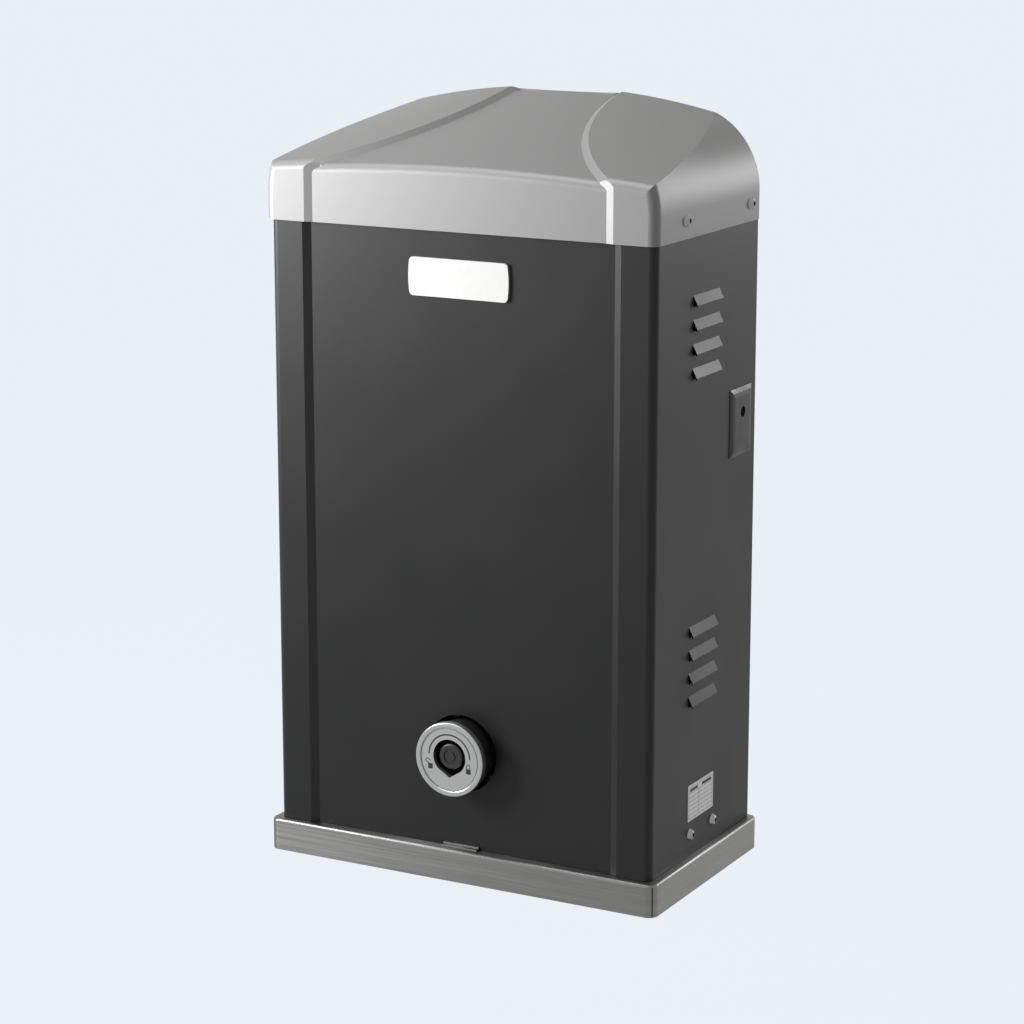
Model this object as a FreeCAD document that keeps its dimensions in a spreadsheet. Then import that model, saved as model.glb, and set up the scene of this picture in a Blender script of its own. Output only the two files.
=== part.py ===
import FreeCAD, Part
import operator
import os
from types import SimpleNamespace

import Sketcher
from FreeCAD import Vector

# Rack-driving motor for a sliding gate: a sheet cabinet with a roof cap on a plinth tray.
# Inside stand a worm gearbox, a vertical fan-cooled motor and the control unit.
# Millimetres. +X is to the right of someone facing the front, +Y towards the gate, +Z up.
# The origin is the centre of the four anchor holes, on the underside of the base plate.

doc = FreeCAD.newDocument("SlidingGateMotor")

# ---------------------------------------------------------------- driving dimensions

DIMENSIONS = {
    # cabinet
    "cabinet_width": 360,
    "cabinet_depth": 196,
    "cabinet_height": 528,
    "cabinet_sheet": 2,
    "cabinet_corner": 6.5,
    "band_width": 298,
    "band_depth": 3.5,
    "band_slope": 7,
    "louvre_width": 50,
    "louvre_height": 9.5,
    "louvre_proud": 4,
    "louvre_lip": 1.5,
    "louvre_skin": 1.2,
    "louvre_pitch": 20,
    "louvre_count": 4,
    "louvre_centre": -3,
    "upper_louvres": 439,
    "lower_louvres": 161,
    # roof cap
    "cap_overlap": 24,
    "cap_gap": 0.3,
    "cap_wall": 2.2,
    "cap_side_rise": 24,
    "cap_side_radius": 70,
    "crown_front": 56,
    "crown_middle": 82.5,
    "crown_rear": 105,
    "crease_front": 23.6,
    "crease_middle": 44.2,
    "crease_rear": 65,
    "cap_edge_radius": 8,
    "cap_band_face": 288,
    "cap_band_front": 272,
    "cap_band_rear": 108,
    "cap_band_slope": 7,
    "cap_core_inset": 1,
    "cap_band_drop": 4,
    "cap_band_setback": 2,
    "cap_band_radius": 266,
    # plinth and base plate
    "plinth_height": 29,
    "plinth_margin": 7,
    "plinth_sheet": 2,
    "plinth_flange": 24,
    "plinth_corner": 8,
    "plinth_edge": 2.5,
    "ground_gap": 1,
    "base_floor": 10,
    "base_rim": 8,
    "base_gap": 0.5,
    "anchor_spacing_x": 290,
    "anchor_spacing_y": 140,
    "anchor_hole": 13,
    "anchor_boss": 28,
    "anchor_boss_rise": 4,
    "cable_entry_x": 110,
    "cable_entry_y": -62,
    "cable_entry_bore": 32,
    "levelling_x": 155,
    "levelling_y": 40,
    "levelling_thread": 10,
    "levelling_length": 20,
    "levelling_socket": 5,
    # fits
    "slide_gap": 0.3,
    "running_fit": 0.05,
    # fixings of the cover
    "screw_thread": 6,
    "screw_head": 10.5,
    "screw_head_height": 3.3,
    "screw_hex": 4,
    "screw_hex_depth": 2,
    "screw_hole": 6.4,
    "screw_nut": 10,
    "screw_nut_height": 5,
    "cap_screw_front": -48,
    "cap_screw_rear": 77,
    "cap_screw_rise": 15,
    "base_screw_front": -21,
    "base_screw_rear": 24,
    "base_screw_rise": 19,
    "rail_sheet": 2.5,
    "rail_width": 18,
    "rail_height": 32,
    "rail_front": -70,
    "rail_rear": 60,
    "tab_width": 34,
    "tab_reach": 5,
    "tab_sheet": 1.5,
    "tab_height": 3,
    # badge and label
    "badge_width": 94,
    "badge_height": 32,
    "badge_thickness": 2.5,
    "badge_corner": 4,
    "badge_bow": 1.3,
    "badge_level": 518,
    "label_width": 50,
    "label_height": 31.5,
    "label_thickness": 0.4,
    "label_level": 76,
    "label_centre": -1.5,
    # side lock
    "lock_y": 68,
    "lock_z": 397,
    "lock_plate_front": 46,
    "lock_plate_rear": 89,
    "lock_plate_low": 359.5,
    "lock_plate_high": 418,
    "lock_plate_thickness": 2.5,
    "lock_plate_bevel": 7.3,
    "lock_barrel": 9.2,
    "lock_barrel_length": 20,
    "lock_recess": 1.5,
    "key_slot_width": 1.6,
    "key_slot_height": 6,
    "key_slot_depth": 5,
    "lock_cam_sheet": 3,
    "lock_cam_width": 10,
    "lock_cam_reach": 20,
    "lock_nut": 16,
    "lock_nut_height": 5,
    "catch_sheet": 3,
    "catch_width": 12,
    "catch_clearance": 3,
    "catch_foot": 15,
    # release lock
    "release_z": 115,
    "release_drop": 2,
    "release_disc": 64.5,
    "release_disc_thickness": 6,
    "release_disc_rim": 4.65,
    "release_rim_round": 1.2,
    "release_groove": 1,
    "release_groove_depth": 0.8,
    "release_rim_height": 1,
    "release_face": 18,
    "release_opening": 31,
    "release_point": 18,
    "release_collar": 58,
    "release_collar_wall": 5,
    "release_hole_gap": 1.5,
    "release_boss": 22,
    "release_boss_setback": 3,
    "release_boss_length": 14,
    "release_boss_groove": 0.8,
    "release_spindle": 16,
    "shift_rod": 10,
    "shift_stroke": 6,
    "shift_pin": 6,
    "shift_pin_reach": 4,
    "shift_rod_reach": 6,
    "shift_rod_tail": 8,
    "shift_rod_socket": 8,
    "clutch_length": 12,
    "clutch_wall": 8,
    "clutch_slot": 8,
    "clutch_slot_margin": 4,
    # gear train
    "worm_module": 3,
    "wheel_teeth": 30,
    "wheel_face": 26,
    "worm_diameter": 34,
    "worm_turns": 6,
    "worm_backlash": 0.5,
    "worm_shaft": 20,
    "wheel_hub_wall": 8,
    "wheel_hub_proud": 5,
    "spacer_wall": 5,
    "output_shaft": 25,
    "pinion_module": 4,
    "pinion_teeth": 18,
    "pinion_face": 30,
    "pinion_gap": 4,
    "retainer_washer": 4,
    "retainer_reach": 7,
    "retainer_screw": 8,
    "retainer_head": 13,
    "retainer_height": 10,
    "bearing_width": 12,
    "output_bearing": 52,
    "worm_bearing": 40,
    "seal_width": 7,
    # gearbox casting
    "gear_wall": 8,
    "gear_half_depth": 54,
    "gear_cover": 12,
    "gear_foot": 12,
    "gear_foot_reach": 12,
    "gear_cavity_gap": 4,
    "gear_nose": 58,
    "nose_clearance": 1,
    "cover_floor": 2,
    "collar_seat": 2,
    "gear_bolt_inset": 6,
    "gear_bolt_head": 9,
    "gear_bolt_height": 5,
    "gear_bolt_hex": 4.5,
    "gear_bolt_hex_depth": 3,
    "plug_across": 13,
    "plug_height": 8,
    "plug_drop": 8,
    "plug_rise": 2,
    "foot_bolt_inset": 10,
    "foot_bolt_across": 10,
    "foot_bolt_height": 6.4,
    "motor_pad": 140,
    "motor_pad_height": 12,
    # motor
    "flange_height": 12,
    "flange_corner": 10,
    "shaft_clearance": 4,
    "motor_bolt_inset": 9,
    "motor_bolt_head": 10,
    "motor_bolt_height": 6,
    "motor_bolt_hex": 5,
    "motor_bolt_hex_depth": 3,
    "stator_height": 150,
    "stator_bore": 104,
    "stator_wall": 6,
    "fin_height": 8,
    "fin_width": 2.5,
    "fin_count": 28,
    "fin_margin": 8,
    "core_height": 100,
    "core_low": 25,
    "rotor_diameter": 60,
    "air_gap": 0.5,
    "winding_height": 16,
    "winding_gap": 4,
    "winding_clearance": 3,
    "shield_height": 12,
    "shield_overhang": 2,
    "cowl_height": 40,
    "cowl_sheet": 1.5,
    "cowl_overhang": 4,
    "cowl_edge": 4,
    "cowl_slot": 4,
    "cowl_slot_pitch": 10,
    "fan_diameter": 104,
    "fan_height": 16,
    "fan_blades": 6,
    "fan_gap": 6,
    "fan_disc": 3,
    "fan_hub_wall": 6,
    "fan_blade": 2,
    "fan_blade_inset": 2,
    # rear panel and control unit
    "panel_sheet": 2,
    "panel_setback": 2,
    "panel_side_gap": 2.5,
    "panel_flange": 10,
    "panel_top_gap": 3,
    "panel_clearance": 1,
    "shelf_level": 404,
    "shelf_side_gap": 28,
    "shelf_depth": 150,
    "shelf_sheet": 2,
    "shelf_upstand": 34,
    "gusset_reach": 70,
    "gusset_drop": 60,
    "case_width": 260,
    "case_depth": 125,
    "case_height": 96,
    "case_wall": 2.5,
    "case_corner": 4,
    "lid_edge": 2,
    "board_setback": 20,
    "board_margin": 12,
    "board_stand": 6,
    "board_stand_inset": 20,
    "component_reach": 40,
    "component_inset": 30,
    "component_width": 50,
    "component_foot": 24,
    "component_head": 30,
    "relay_left": -10,
    "relay_width": 70,
    "relay_foot": 20,
    "relay_height": 30,
    "lid_thickness": 6,
    "board_thickness": 1.6,
    "gland_diameter": 20,
    "gland_length": 20,
    "gland_pitch": 30,
    "gland_setback": 30,
    "transformer_gap": 6,
    "transformer_y": 25,
    "transformer_width": 60,
    "transformer_depth": 40,
    "transformer_height": 66,
    "coil_reach": 12,
    "coil_corner": 3,
    "rail_bar_level": 222,
    "rail_bar_width": 70,
    "rail_bar_height": 35,
    "rail_bar_depth": 7.5,
    "rail_bar_skin": 1.2,
    "rail_bar_fold": 5,
    "terminal_pitch": 8,
    "terminal_count": 7,
    "terminal_gap": 0.6,
    "terminal_overhang": 4,
    "terminal_slope": 6,
    "terminal_step": 14,
    "terminal_depth": 30,
    # limit switch
    "limit_z": 215,
    "limit_box_width": 70,
    "limit_box_height": 60,
    "limit_box_depth": 23,
    "limit_box_corner": 3,
    "limit_box_wall": 3,
    "limit_hub_gap": 1,
    "limit_shaft": 8,
    "limit_hub": 20,
    "limit_hub_length": 11,
    "limit_rod": 6,
    "limit_rod_length": 64,
}

sheet = doc.addObject("Spreadsheet::Sheet", "Sizes")
for row, (alias, number) in enumerate(DIMENSIONS.items(), start=1):
    sheet.set("A%d" % row, alias)
    sheet.set("B%d" % row, str(number))
    sheet.setAlias("B%d" % row, alias)
doc.recompute()


class Size:
    """A number together with the spreadsheet formula that gives it."""

    def __init__(self, value, formula):
        self.value = value
        self.formula = formula

    def __neg__(self):
        return Size(-self.value, "(0 - %s)" % self.formula)

    def __add__(self, other):
        return joined(self, "+", other, operator.add)

    def __radd__(self, other):
        return joined(other, "+", self, operator.add)

    def __sub__(self, other):
        return joined(self, "-", other, operator.sub)

    def __rsub__(self, other):
        return joined(other, "-", self, operator.sub)

    def __mul__(self, other):
        return joined(self, "*", other, operator.mul)

    def __rmul__(self, other):
        return joined(other, "*", self, operator.mul)

    def __truediv__(self, other):
        return joined(self, "/", other, operator.truediv)

    def root(self):
        return Size(self.value ** 0.5, "sqrt(%s)" % self.formula)


def as_size(number):
    if isinstance(number, Size):
        return number
    return Size(float(number), "(%r)" % float(number))


def joined(left, sign, right, action):
    left, right = as_size(left), as_size(right)
    formula = "(%s %s %s)" % (left.formula, sign, right.formula)
    return Size(action(left.value, right.value), formula)


d = SimpleNamespace()
for alias in DIMENSIONS:
    setattr(d, alias, Size(float(sheet.get(alias)), "Sizes." + alias))

# ---------------------------------------------------------------- modelling helpers

PLANES = {"X": "YZ_Plane", "Y": "XZ_Plane", "Z": "XY_Plane"}
parts = []


def bind(target, prop, size):
    """Give a property its value from the spreadsheet."""
    target.setExpression(prop, as_size(size).formula)


def place(target, x=0, y=0, z=0):
    """Set a sub-part's own origin down in the frame."""
    for letter, size in zip("xyz", (x, y, z)):
        bind(target, "Placement.Base." + letter, size)


def new_body(label, kept=True):
    body = doc.addObject("PartDesign::Body", label)
    body.Label = label
    if kept:
        parts.append(body)
    return body


def plane(body, axis):
    """The body's own origin plane that is square to an axis."""
    return [item for item in body.Origin.OriginFeatures if item.Role == PLANES[axis]][0]


def sketch_on(body, axis, level):
    """A sketch square to an axis, at a level along it, drawn in the two other axes."""
    sketch = body.newObject("Sketcher::SketchObject", "Sketch")
    sketch.AttachmentSupport = [(plane(body, axis), "")]
    sketch.MapMode = "FlatFace"
    bind(sketch, "AttachmentOffset.Base.z", -as_size(level) if axis == "Y" else level)
    return sketch


def pin(sketch, kind, geometry, vertex, size):
    """Hold a point of a sketch at a coordinate from the spreadsheet."""
    size = as_size(size)
    index = sketch.addConstraint(Sketcher.Constraint(kind, geometry, vertex, size.value))
    bind(sketch, "Constraints[%d]" % index, size)


def pin_point(sketch, geometry, vertex, x, y):
    pin(sketch, "DistanceX", geometry, vertex, x)
    pin(sketch, "DistanceY", geometry, vertex, y)


def pin_radius(sketch, geometry, size):
    index = sketch.addConstraint(Sketcher.Constraint("Radius", geometry, as_size(size).value))
    bind(sketch, "Constraints[%d]" % index, size)


def join(sketch, first, second):
    """Make a point of one line or arc coincide with a point of another."""
    sketch.addConstraint(Sketcher.Constraint("Coincident", *first, *second))


def vector(x, y):
    return Vector(as_size(x).value, as_size(y).value, 0)


def polygon(*points):
    """A closed outline of straight lines."""
    def draw(sketch):
        first = sketch.GeometryCount
        count = len(points)
        for index, (x, y) in enumerate(points):
            after = points[(index + 1) % count]
            sketch.addGeometry(Part.LineSegment(vector(x, y), vector(*after)))
        for index in range(count):
            after = first + (index + 1) % count
            sketch.addConstraint(Sketcher.Constraint("Coincident", first + index, 2, after, 1))
        for index, (x, y) in enumerate(points):
            pin_point(sketch, first + index, 1, x, y)
    return draw


def rectangle(low_x, low_y, high_x, high_y):
    return polygon((low_x, low_y), (high_x, low_y), (high_x, high_y), (low_x, high_y))


def circle(x, y, diameter):
    def draw(sketch):
        radius = as_size(diameter) / 2
        index = sketch.addGeometry(Part.Circle(vector(x, y), Vector(0, 0, 1), radius.value))
        pin_point(sketch, index, 3, x, y)
        pin_radius(sketch, index, radius)
    return draw


def regular(x, y, across, sides=6):
    """A regular polygon, given across its flats."""
    def draw(sketch):
        corner = as_size(across) / (2 * COS_30)
        ring = [(x + corner * c, y + corner * s) for c, s in directions(sides)]
        polygon(*ring)(sketch)
    return draw


COS_30 = 0.8660254
PI = 3.14159265


def directions(count):
    """Unit vectors evenly round a circle."""
    turn = FreeCAD.Rotation(Vector(0, 0, 1), 360.0 / count)
    arm = Vector(1, 0, 0)
    arms = []
    for _ in range(count):
        arms.append((round(arm.x, 9), round(arm.y, 9)))
        arm = turn.multVec(arm)
    return arms


def add_feature(body, kind, sketch):
    feature = body.newObject("PartDesign::" + kind, kind)
    feature.Profile = sketch
    sketch.Visibility = False
    return feature


def pad(body, axis, low, high, *outlines):
    """Add the outlines as a solid between two levels along an axis."""
    sketch = sketch_on(body, axis, low)
    for draw in outlines:
        draw(sketch)
    feature = add_feature(body, "Pad", sketch)
    bind(feature, "Length", as_size(high) - low)
    feature.Reversed = axis == "Y"
    return feature


def pocket(body, axis, low, high, *outlines):
    """Cut the outlines away between two levels along an axis."""
    sketch = sketch_on(body, axis, low)
    for draw in outlines:
        draw(sketch)
    feature = add_feature(body, "Pocket", sketch)
    bind(feature, "Length", as_size(high) - low)
    feature.Reversed = axis != "Y"
    doc.recompute()
    if feature.Shape.isNull() or feature.BaseFeature.Shape.Volume - feature.Shape.Volume < 1e-3:
        raise ValueError("a pocket of %s cuts nothing" % body.Label)
    return feature


def turned(body, axis, *points):
    """Turn a profile of (along, radius) points about an axis through the body's origin."""
    sketch = sketch_on(body, {"X": "Y", "Y": "X", "Z": "Y"}[axis], 0)
    if axis == "Z":
        polygon(*[(radius, along) for along, radius in points])(sketch)
    else:
        polygon(*points)(sketch)
    feature = add_feature(body, "Revolution", sketch)
    feature.ReferenceAxis = (sketch, ["V_Axis" if axis == "Z" else "H_Axis"])
    feature.Angle = 360
    return feature


def ring(body, axis, low, high, outer, inner):
    """A plain ring or tube about an axis through the body's origin."""
    outer, inner = as_size(outer) / 2, as_size(inner) / 2
    return turned(body, axis, (low, inner), (high, inner), (high, outer), (low, outer))


def rod(body, axis, low, high, diameter):
    return pad(body, axis, low, high, circle(0, 0, diameter))


def fillet(body, size, *tests):
    """Round every edge of the body that passes one of the tests."""
    doc.recompute()
    base = body.Tip
    names = ["Edge%d" % (index + 1) for index, edge in enumerate(base.Shape.Edges)
             if any(test(edge) for test in tests)]
    if not names:
        raise ValueError("no edge to round on " + body.Label)
    feature = body.newObject("PartDesign::Fillet", "Fillet")
    feature.Base = (base, names)
    bind(feature, "Radius", size)
    return feature


def close(first, second):
    return abs(first - as_size(second).value) < 1e-3


def along(axis, **at):
    """A test for straight edges that run along an axis at given coordinates."""
    letter = axis.lower()
    def test(edge):
        box = edge.BoundBox
        spans = {"x": box.XLength, "y": box.YLength, "z": box.ZLength}
        middle = {"x": box.Center.x, "y": box.Center.y, "z": box.Center.z}
        if spans[letter] < 1e-3 or max(spans[o] for o in spans if o != letter) > 1e-3:
            return False
        return all(any(close(middle[key], level) for level in levels)
                   for key, levels in at.items())
    return test


def level_edge(axis, level):
    """A test for edges that lie in a plane square to an axis."""
    def test(edge):
        box = edge.BoundBox
        low, high = {"x": (box.XMin, box.XMax), "y": (box.YMin, box.YMax),
                     "z": (box.ZMin, box.ZMax)}[axis.lower()]
        return abs(low - as_size(level).value) < 1e-2 and abs(high - as_size(level).value) < 1e-2
    return test


def polar(body, axis, count):
    """Repeat the body's last feature evenly round one of its own axes."""
    doc.recompute()
    last = body.Tip
    feature = body.newObject("PartDesign::PolarPattern", "PolarPattern")
    feature.Originals = [last]
    line = [item for item in body.Origin.OriginFeatures if item.Role == axis + "_Axis"][0]
    feature.Axis = (line, [""])
    feature.Angle = 360
    bind(feature, "Occurrences", count)
    body.Tip = feature
    return feature


def mirrored(body, axis):
    """Repeat the whole body on the other side of its own origin plane."""
    doc.recompute()
    feature = body.newObject("PartDesign::Mirrored", "Mirrored")
    feature.TransformMode = "Whole shape"
    feature.MirrorPlane = (plane(body, axis), [""])
    body.Tip = feature
    return feature


def repeated(body, axis, pitch, count=2):
    """Repeat the whole body in a row along an axis."""
    doc.recompute()
    feature = body.newObject("PartDesign::LinearPattern", "LinearPattern")
    feature.TransformMode = "Whole shape"
    feature.Direction = (plane(body, axis), [""])
    feature.Reversed = axis == "Y"
    feature.Mode = "Spacing"
    bind(feature, "Offset", pitch)
    bind(feature, "Occurrences", count)
    body.Tip = feature
    return feature


# ---------------------------------------------------------------- levels shared by the pieces

half_width = d.cabinet_width / 2
front = -d.cabinet_depth / 2
rear = d.cabinet_depth / 2
band_face = front + d.band_depth
inner_side = half_width - d.cabinet_sheet
shell_low = d.plinth_height + d.slide_gap
cap_low = d.plinth_height + d.cabinet_height
shell_top = cap_low + d.cap_overlap
cap_side = half_width + d.cap_gap + d.cap_wall
cap_front = front - d.cap_gap - d.cap_wall - d.cap_band_setback
cap_rear = rear + d.cap_gap + d.cap_wall
cap_screw_z = cap_low + d.cap_screw_rise
base_screw_z = d.plinth_height + d.base_screw_rise
disc_z = d.release_z - d.release_drop
disc_front = front - d.release_face
collar_front = disc_front + d.release_disc_thickness

wheel_radius = d.worm_module * d.wheel_teeth / 2
worm_offset = wheel_radius + d.worm_diameter / 2
gear_front = -d.gear_half_depth + d.gear_cover
gear_rear = d.gear_half_depth
cavity_rear = gear_rear - d.gear_wall
cavity_right = wheel_radius + d.worm_module + d.gear_cavity_gap
cavity_left = -worm_offset - d.worm_diameter / 2 - d.worm_module - d.gear_cavity_gap
transformer_x = (cavity_right + d.gear_wall + d.gear_foot_reach + d.transformer_gap
                 + d.transformer_width / 2)
cavity_low = d.release_z - cavity_right
cavity_high = d.release_z + cavity_right
gear_top = cavity_high + d.motor_pad_height
nose_rear = rear + d.cap_gap

flange_top = gear_top + d.flange_height
stator_top = flange_top + d.stator_height
shield_top = stator_top + d.shield_height
core_low = flange_top + d.core_low
core_high = core_low + d.core_height

lock_tip = half_width + d.lock_plate_thickness - d.lock_recess
lock_stub = lock_tip - d.lock_barrel_length
panel_rear = rear - d.panel_setback
panel_front = panel_rear - d.panel_sheet
panel_side = inner_side - d.panel_side_gap
panel_top = cap_low - d.panel_top_gap
shelf_top = d.shelf_level + d.shelf_sheet
pinion_front = nose_rear + d.pinion_gap
pinion_rear = pinion_front + d.pinion_face
bearing_front = gear_front - d.gear_cover + d.cover_floor

# ---------------------------------------------------------------- the cover


def louvre(side, bottom):
    """The outline of one pressed hood, open below."""
    face = side * half_width
    edge = face + side * d.louvre_proud
    return polygon((face, bottom), (edge, bottom), (edge, bottom + d.louvre_lip),
                   (face, bottom + d.louvre_height))


def louvre_throat(side, bottom):
    """The space under a hood, right through the sheet and open at both ends."""
    inside = side * (inner_side - 1)
    edge = side * (half_width + d.louvre_proud - d.louvre_skin)
    rise = (d.louvre_height - d.louvre_lip) / d.louvre_proud
    climb = (d.cabinet_sheet + 1 + d.louvre_proud - d.louvre_skin) * rise
    return polygon((inside, bottom), (edge, bottom), (edge, bottom + d.louvre_lip),
                   (inside, bottom + d.louvre_lip + climb))


def build_cabinet_shell():
    body = new_body("cabinet_shell")
    wall = d.cabinet_sheet
    bend = wall / 4
    edge = d.band_width / 2
    foot = edge - d.band_slope
    right = [(half_width, rear), (half_width, front), (edge, front), (foot, band_face)]
    inside = [(foot - bend, band_face + wall), (edge - bend, front + wall),
              (inner_side, front + wall), (inner_side, rear)]
    left = [(-x, y) for x, y in reversed(right)]
    left_inside = [(-x, y) for x, y in reversed(inside)]
    pad(body, "Z", shell_low, shell_top, polygon(*(right + left + left_inside + inside)))
    fillet(body, d.cabinet_corner, along("Z", x=(half_width, -half_width), y=(front,)))
    fillet(body, d.cabinet_corner - wall,
           along("Z", x=(inner_side, -inner_side), y=(front + wall,)))
    bottoms = [low + index * d.louvre_pitch for low in (d.lower_louvres, d.upper_louvres)
               for index in range(int(d.louvre_count.value))]
    hoods = [(side, bottom) for side in (1, -1) for bottom in bottoms]
    low_y = d.louvre_centre - d.louvre_width / 2
    high_y = d.louvre_centre + d.louvre_width / 2
    pad(body, "Y", low_y, high_y, *[louvre(*hood) for hood in hoods])
    pocket(body, "Y", low_y, high_y, *[louvre_throat(*hood) for hood in hoods])
    pocket(body, "Y", front - 1, band_face + wall + 1,
           circle(0, disc_z, d.release_disc + 2 * d.release_hole_gap))
    holes = [circle(y, cap_screw_z, d.screw_hole) for y in (d.cap_screw_front, d.cap_screw_rear)]
    holes += [circle(y, base_screw_z, d.screw_hole)
              for y in (d.base_screw_front, d.base_screw_rear)]
    pocket(body, "X", -half_width - 1, half_width + 1, *holes)
    pocket(body, "X", 0, half_width + 1,
           circle(d.lock_y, d.lock_z, d.lock_barrel + 2 * d.slide_gap))


def crown_span(inset, drop, crown, crease):
    """Half the crown's width from crease to crease, and how far it bows up between them."""
    shoulder = d.cap_side_radius - inset
    rise = crease - drop
    reach = cap_side - inset - shoulder + (shoulder * shoulder - rise * rise).root()
    return reach, crown - drop - d.cap_side_rise - rise


def cap_section(inset, drop, crown, crease, low):
    """One cross-section of the cap: upright sides, round shoulders and a shallow crown."""
    side = cap_side - inset
    spring = cap_low + d.cap_side_rise
    shoulder = d.cap_side_radius - inset
    shoulder_top = spring + crease - drop
    reach, bow = crown_span(inset, drop, crown, crease)
    crown_radius = (reach * reach + bow * bow) / (2 * bow)
    crown_centre = cap_low + crown - drop - crown_radius

    def draw(sketch):
        ends = [vector(reach, shoulder_top), vector(-reach, shoulder_top)]
        arcs = []
        for sign, end in zip((1, -1), ends):
            middle = vector(sign * (side - shoulder), spring)
            start = vector(sign * side, spring)
            arcs.append(sketch.addGeometry(arc_between(middle, start, end, sign > 0)))
        roof = sketch.addGeometry(arc_between(vector(0, crown_centre), *ends, True))
        floor = sketch.addGeometry(Part.LineSegment(vector(-side, low), vector(side, low)))
        for sign, arc in zip((1, -1), arcs):
            start, end = (1, 2) if sign > 0 else (2, 1)
            wall = sketch.addGeometry(
                Part.LineSegment(vector(sign * side, low), vector(sign * side, spring)))
            pin_point(sketch, wall, 1, sign * side, low)
            pin_point(sketch, wall, 2, sign * side, spring)
            join(sketch, (wall, 2), (arc, start))
            join(sketch, (arc, end), (roof, 1 if sign > 0 else 2))
            join(sketch, (wall, 1), (floor, 2 if sign > 0 else 1))
            pin(sketch, "DistanceY", arc, 3, spring)
            pin_radius(sketch, arc, shoulder)
            pin(sketch, "DistanceY", arc, end, shoulder_top)
        pin_radius(sketch, roof, crown_radius)
    return draw


def arc_between(centre, start, end, forward):
    """The arc about a centre from start to end, or from end to start when drawn backward."""
    radius = (start - centre).Length
    round_it = Part.Circle(centre, Vector(0, 0, 1), radius)
    first, last = (start, end) if forward else (end, start)
    return Part.ArcOfCircle(round_it, round_it.parameter(first), round_it.parameter(last))


def loft(body, axis, levels, sections, ruled=False):
    """A solid through sections that are square to an axis; Y levels run from rear to front."""
    sketches = []
    for level, draw in zip(levels, sections):
        sketch = sketch_on(body, axis, level)
        draw(sketch)
        sketches.append(sketch)
    feature = add_feature(body, "AdditiveLoft", sketches[0])
    feature.Sections = sketches[1:]
    feature.Ruled = ruled
    doc.recompute()


CROWNS = ((d.crown_rear, d.crease_rear), (d.crown_middle, d.crease_middle),
          (d.crown_front, d.crease_front))


def cap_loft(label, inset, drop, front_y, rear_y, low):
    """The cap's form as a solid: a loft through a rear, a middle and a front section."""
    body = new_body(label, kept=False)
    inset, drop = as_size(inset), as_size(drop)
    loft(body, "Y", (rear_y, 0, front_y),
         [cap_section(inset, drop, crown, crease, low) for crown, crease in CROWNS])
    return body


def band_edge(y):
    """Half the width of the set-back band at a depth: a plan arc that narrows to the rear."""
    spread = (d.cap_band_front - d.cap_band_rear) / 2
    depth = rear - front
    chord = (spread * spread + depth * depth).root()
    offset = (d.cap_band_radius * d.cap_band_radius - chord * chord / 4).root()
    centre_x = (d.cap_band_front + d.cap_band_rear) / 4 + offset * depth / chord
    centre_y = offset * spread / chord
    return centre_x - (d.cap_band_radius * d.cap_band_radius
                       - (y - centre_y) * (y - centre_y)).root()


def wing_edge_level(y):
    """The height of the wings along the band's edge, by the parabola through three sections."""
    stations = (cap_rear, as_size(0), cap_front)
    total = as_size(0)
    for index, (crown, crease) in enumerate(CROWNS):
        here = stations[index]
        reach, bow = crown_span(as_size(0), as_size(0), crown, crease)
        share = band_edge(here) / reach
        level = crown - bow * share * share
        first, second = [other for other in stations if other is not here]
        weight = (y - first) * (y - second) / ((here - first) * (here - second))
        total = total + level * weight
    return cap_low + total


def channel_section(y):
    """The band's cut at one depth: sides that slope down by the drop over the strip's run."""
    edge, level = band_edge(y), wing_edge_level(y)
    run, drop = d.cap_band_slope, d.cap_band_drop
    wide, top = edge + run, level + drop
    narrow, bottom = edge - 2 * run, level - 2 * drop
    return polygon((wide, top), (narrow, bottom), (-narrow, bottom), (-wide, top),
                   (-wide, top + 2 * drop), (wide, top + 2 * drop))


def cap_channel():
    """What the set-back band takes out of the wings: over the roof, and down the front face."""
    roof = new_body("cap_channel_roof", kept=False)
    levels = [cap_front - 1 + (cap_rear - cap_front + 2) * share
              for share in (1, 0.75, 0.5, 0.25, 0)]
    loft(roof, "Y", levels, [channel_section(level) for level in levels])
    face = new_body("cap_channel_face", kept=False)
    half, slant = d.cap_band_face / 2, d.cap_band_slope / d.cap_band_setback
    near, far = cap_front - 1, cap_front + 2 * d.cap_band_setback
    wide, narrow = half + slant, half - 2 * d.cap_band_slope
    pad(face, "Z", cap_low - 1, cap_low + d.crown_rear,
        polygon((wide, near), (narrow, far), (-narrow, far), (-wide, near)))
    return boolean("Fuse", "cap_channel", roof, face)


def build_roof_cap():
    wings = cap_loft("cap_wings", 0, 0, cap_front, cap_rear, cap_low)
    round_cap_edges(wings, cap_front, cap_rear)
    core_front = cap_front + d.cap_band_setback
    core = cap_loft("cap_core", d.cap_core_inset, d.cap_band_drop, core_front, cap_rear, cap_low)
    round_cap_edges(core, core_front, cap_rear)
    hollow = cap_loft("cap_hollow", d.cap_wall, d.cap_band_drop + d.cap_wall,
                      front - d.cap_gap, rear + d.cap_gap, cap_low - 1)
    drills = []
    for y in (d.cap_screw_front, d.cap_screw_rear):
        drill = doc.addObject("Part::Cylinder", "drill")
        bind(drill, "Radius", d.screw_hole / 2)
        bind(drill, "Height", 2 * cap_side + 2)
        drill.Placement.Rotation = FreeCAD.Rotation(Vector(0, 1, 0), 90)
        place(drill, -cap_side - 1, y, cap_screw_z)
        drills.append(drill)
    fixings = doc.addObject("Part::Compound", "cap_screw_holes")
    fixings.Links = drills
    raised = boolean("Cut", "cap_raised", wings, cap_channel())
    whole = boolean("Fuse", "cap_form", raised, core)
    open_cap = boolean("Cut", "cap_open", whole, hollow)
    parts.append(boolean("Cut", "roof_cap", open_cap, fixings))


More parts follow.
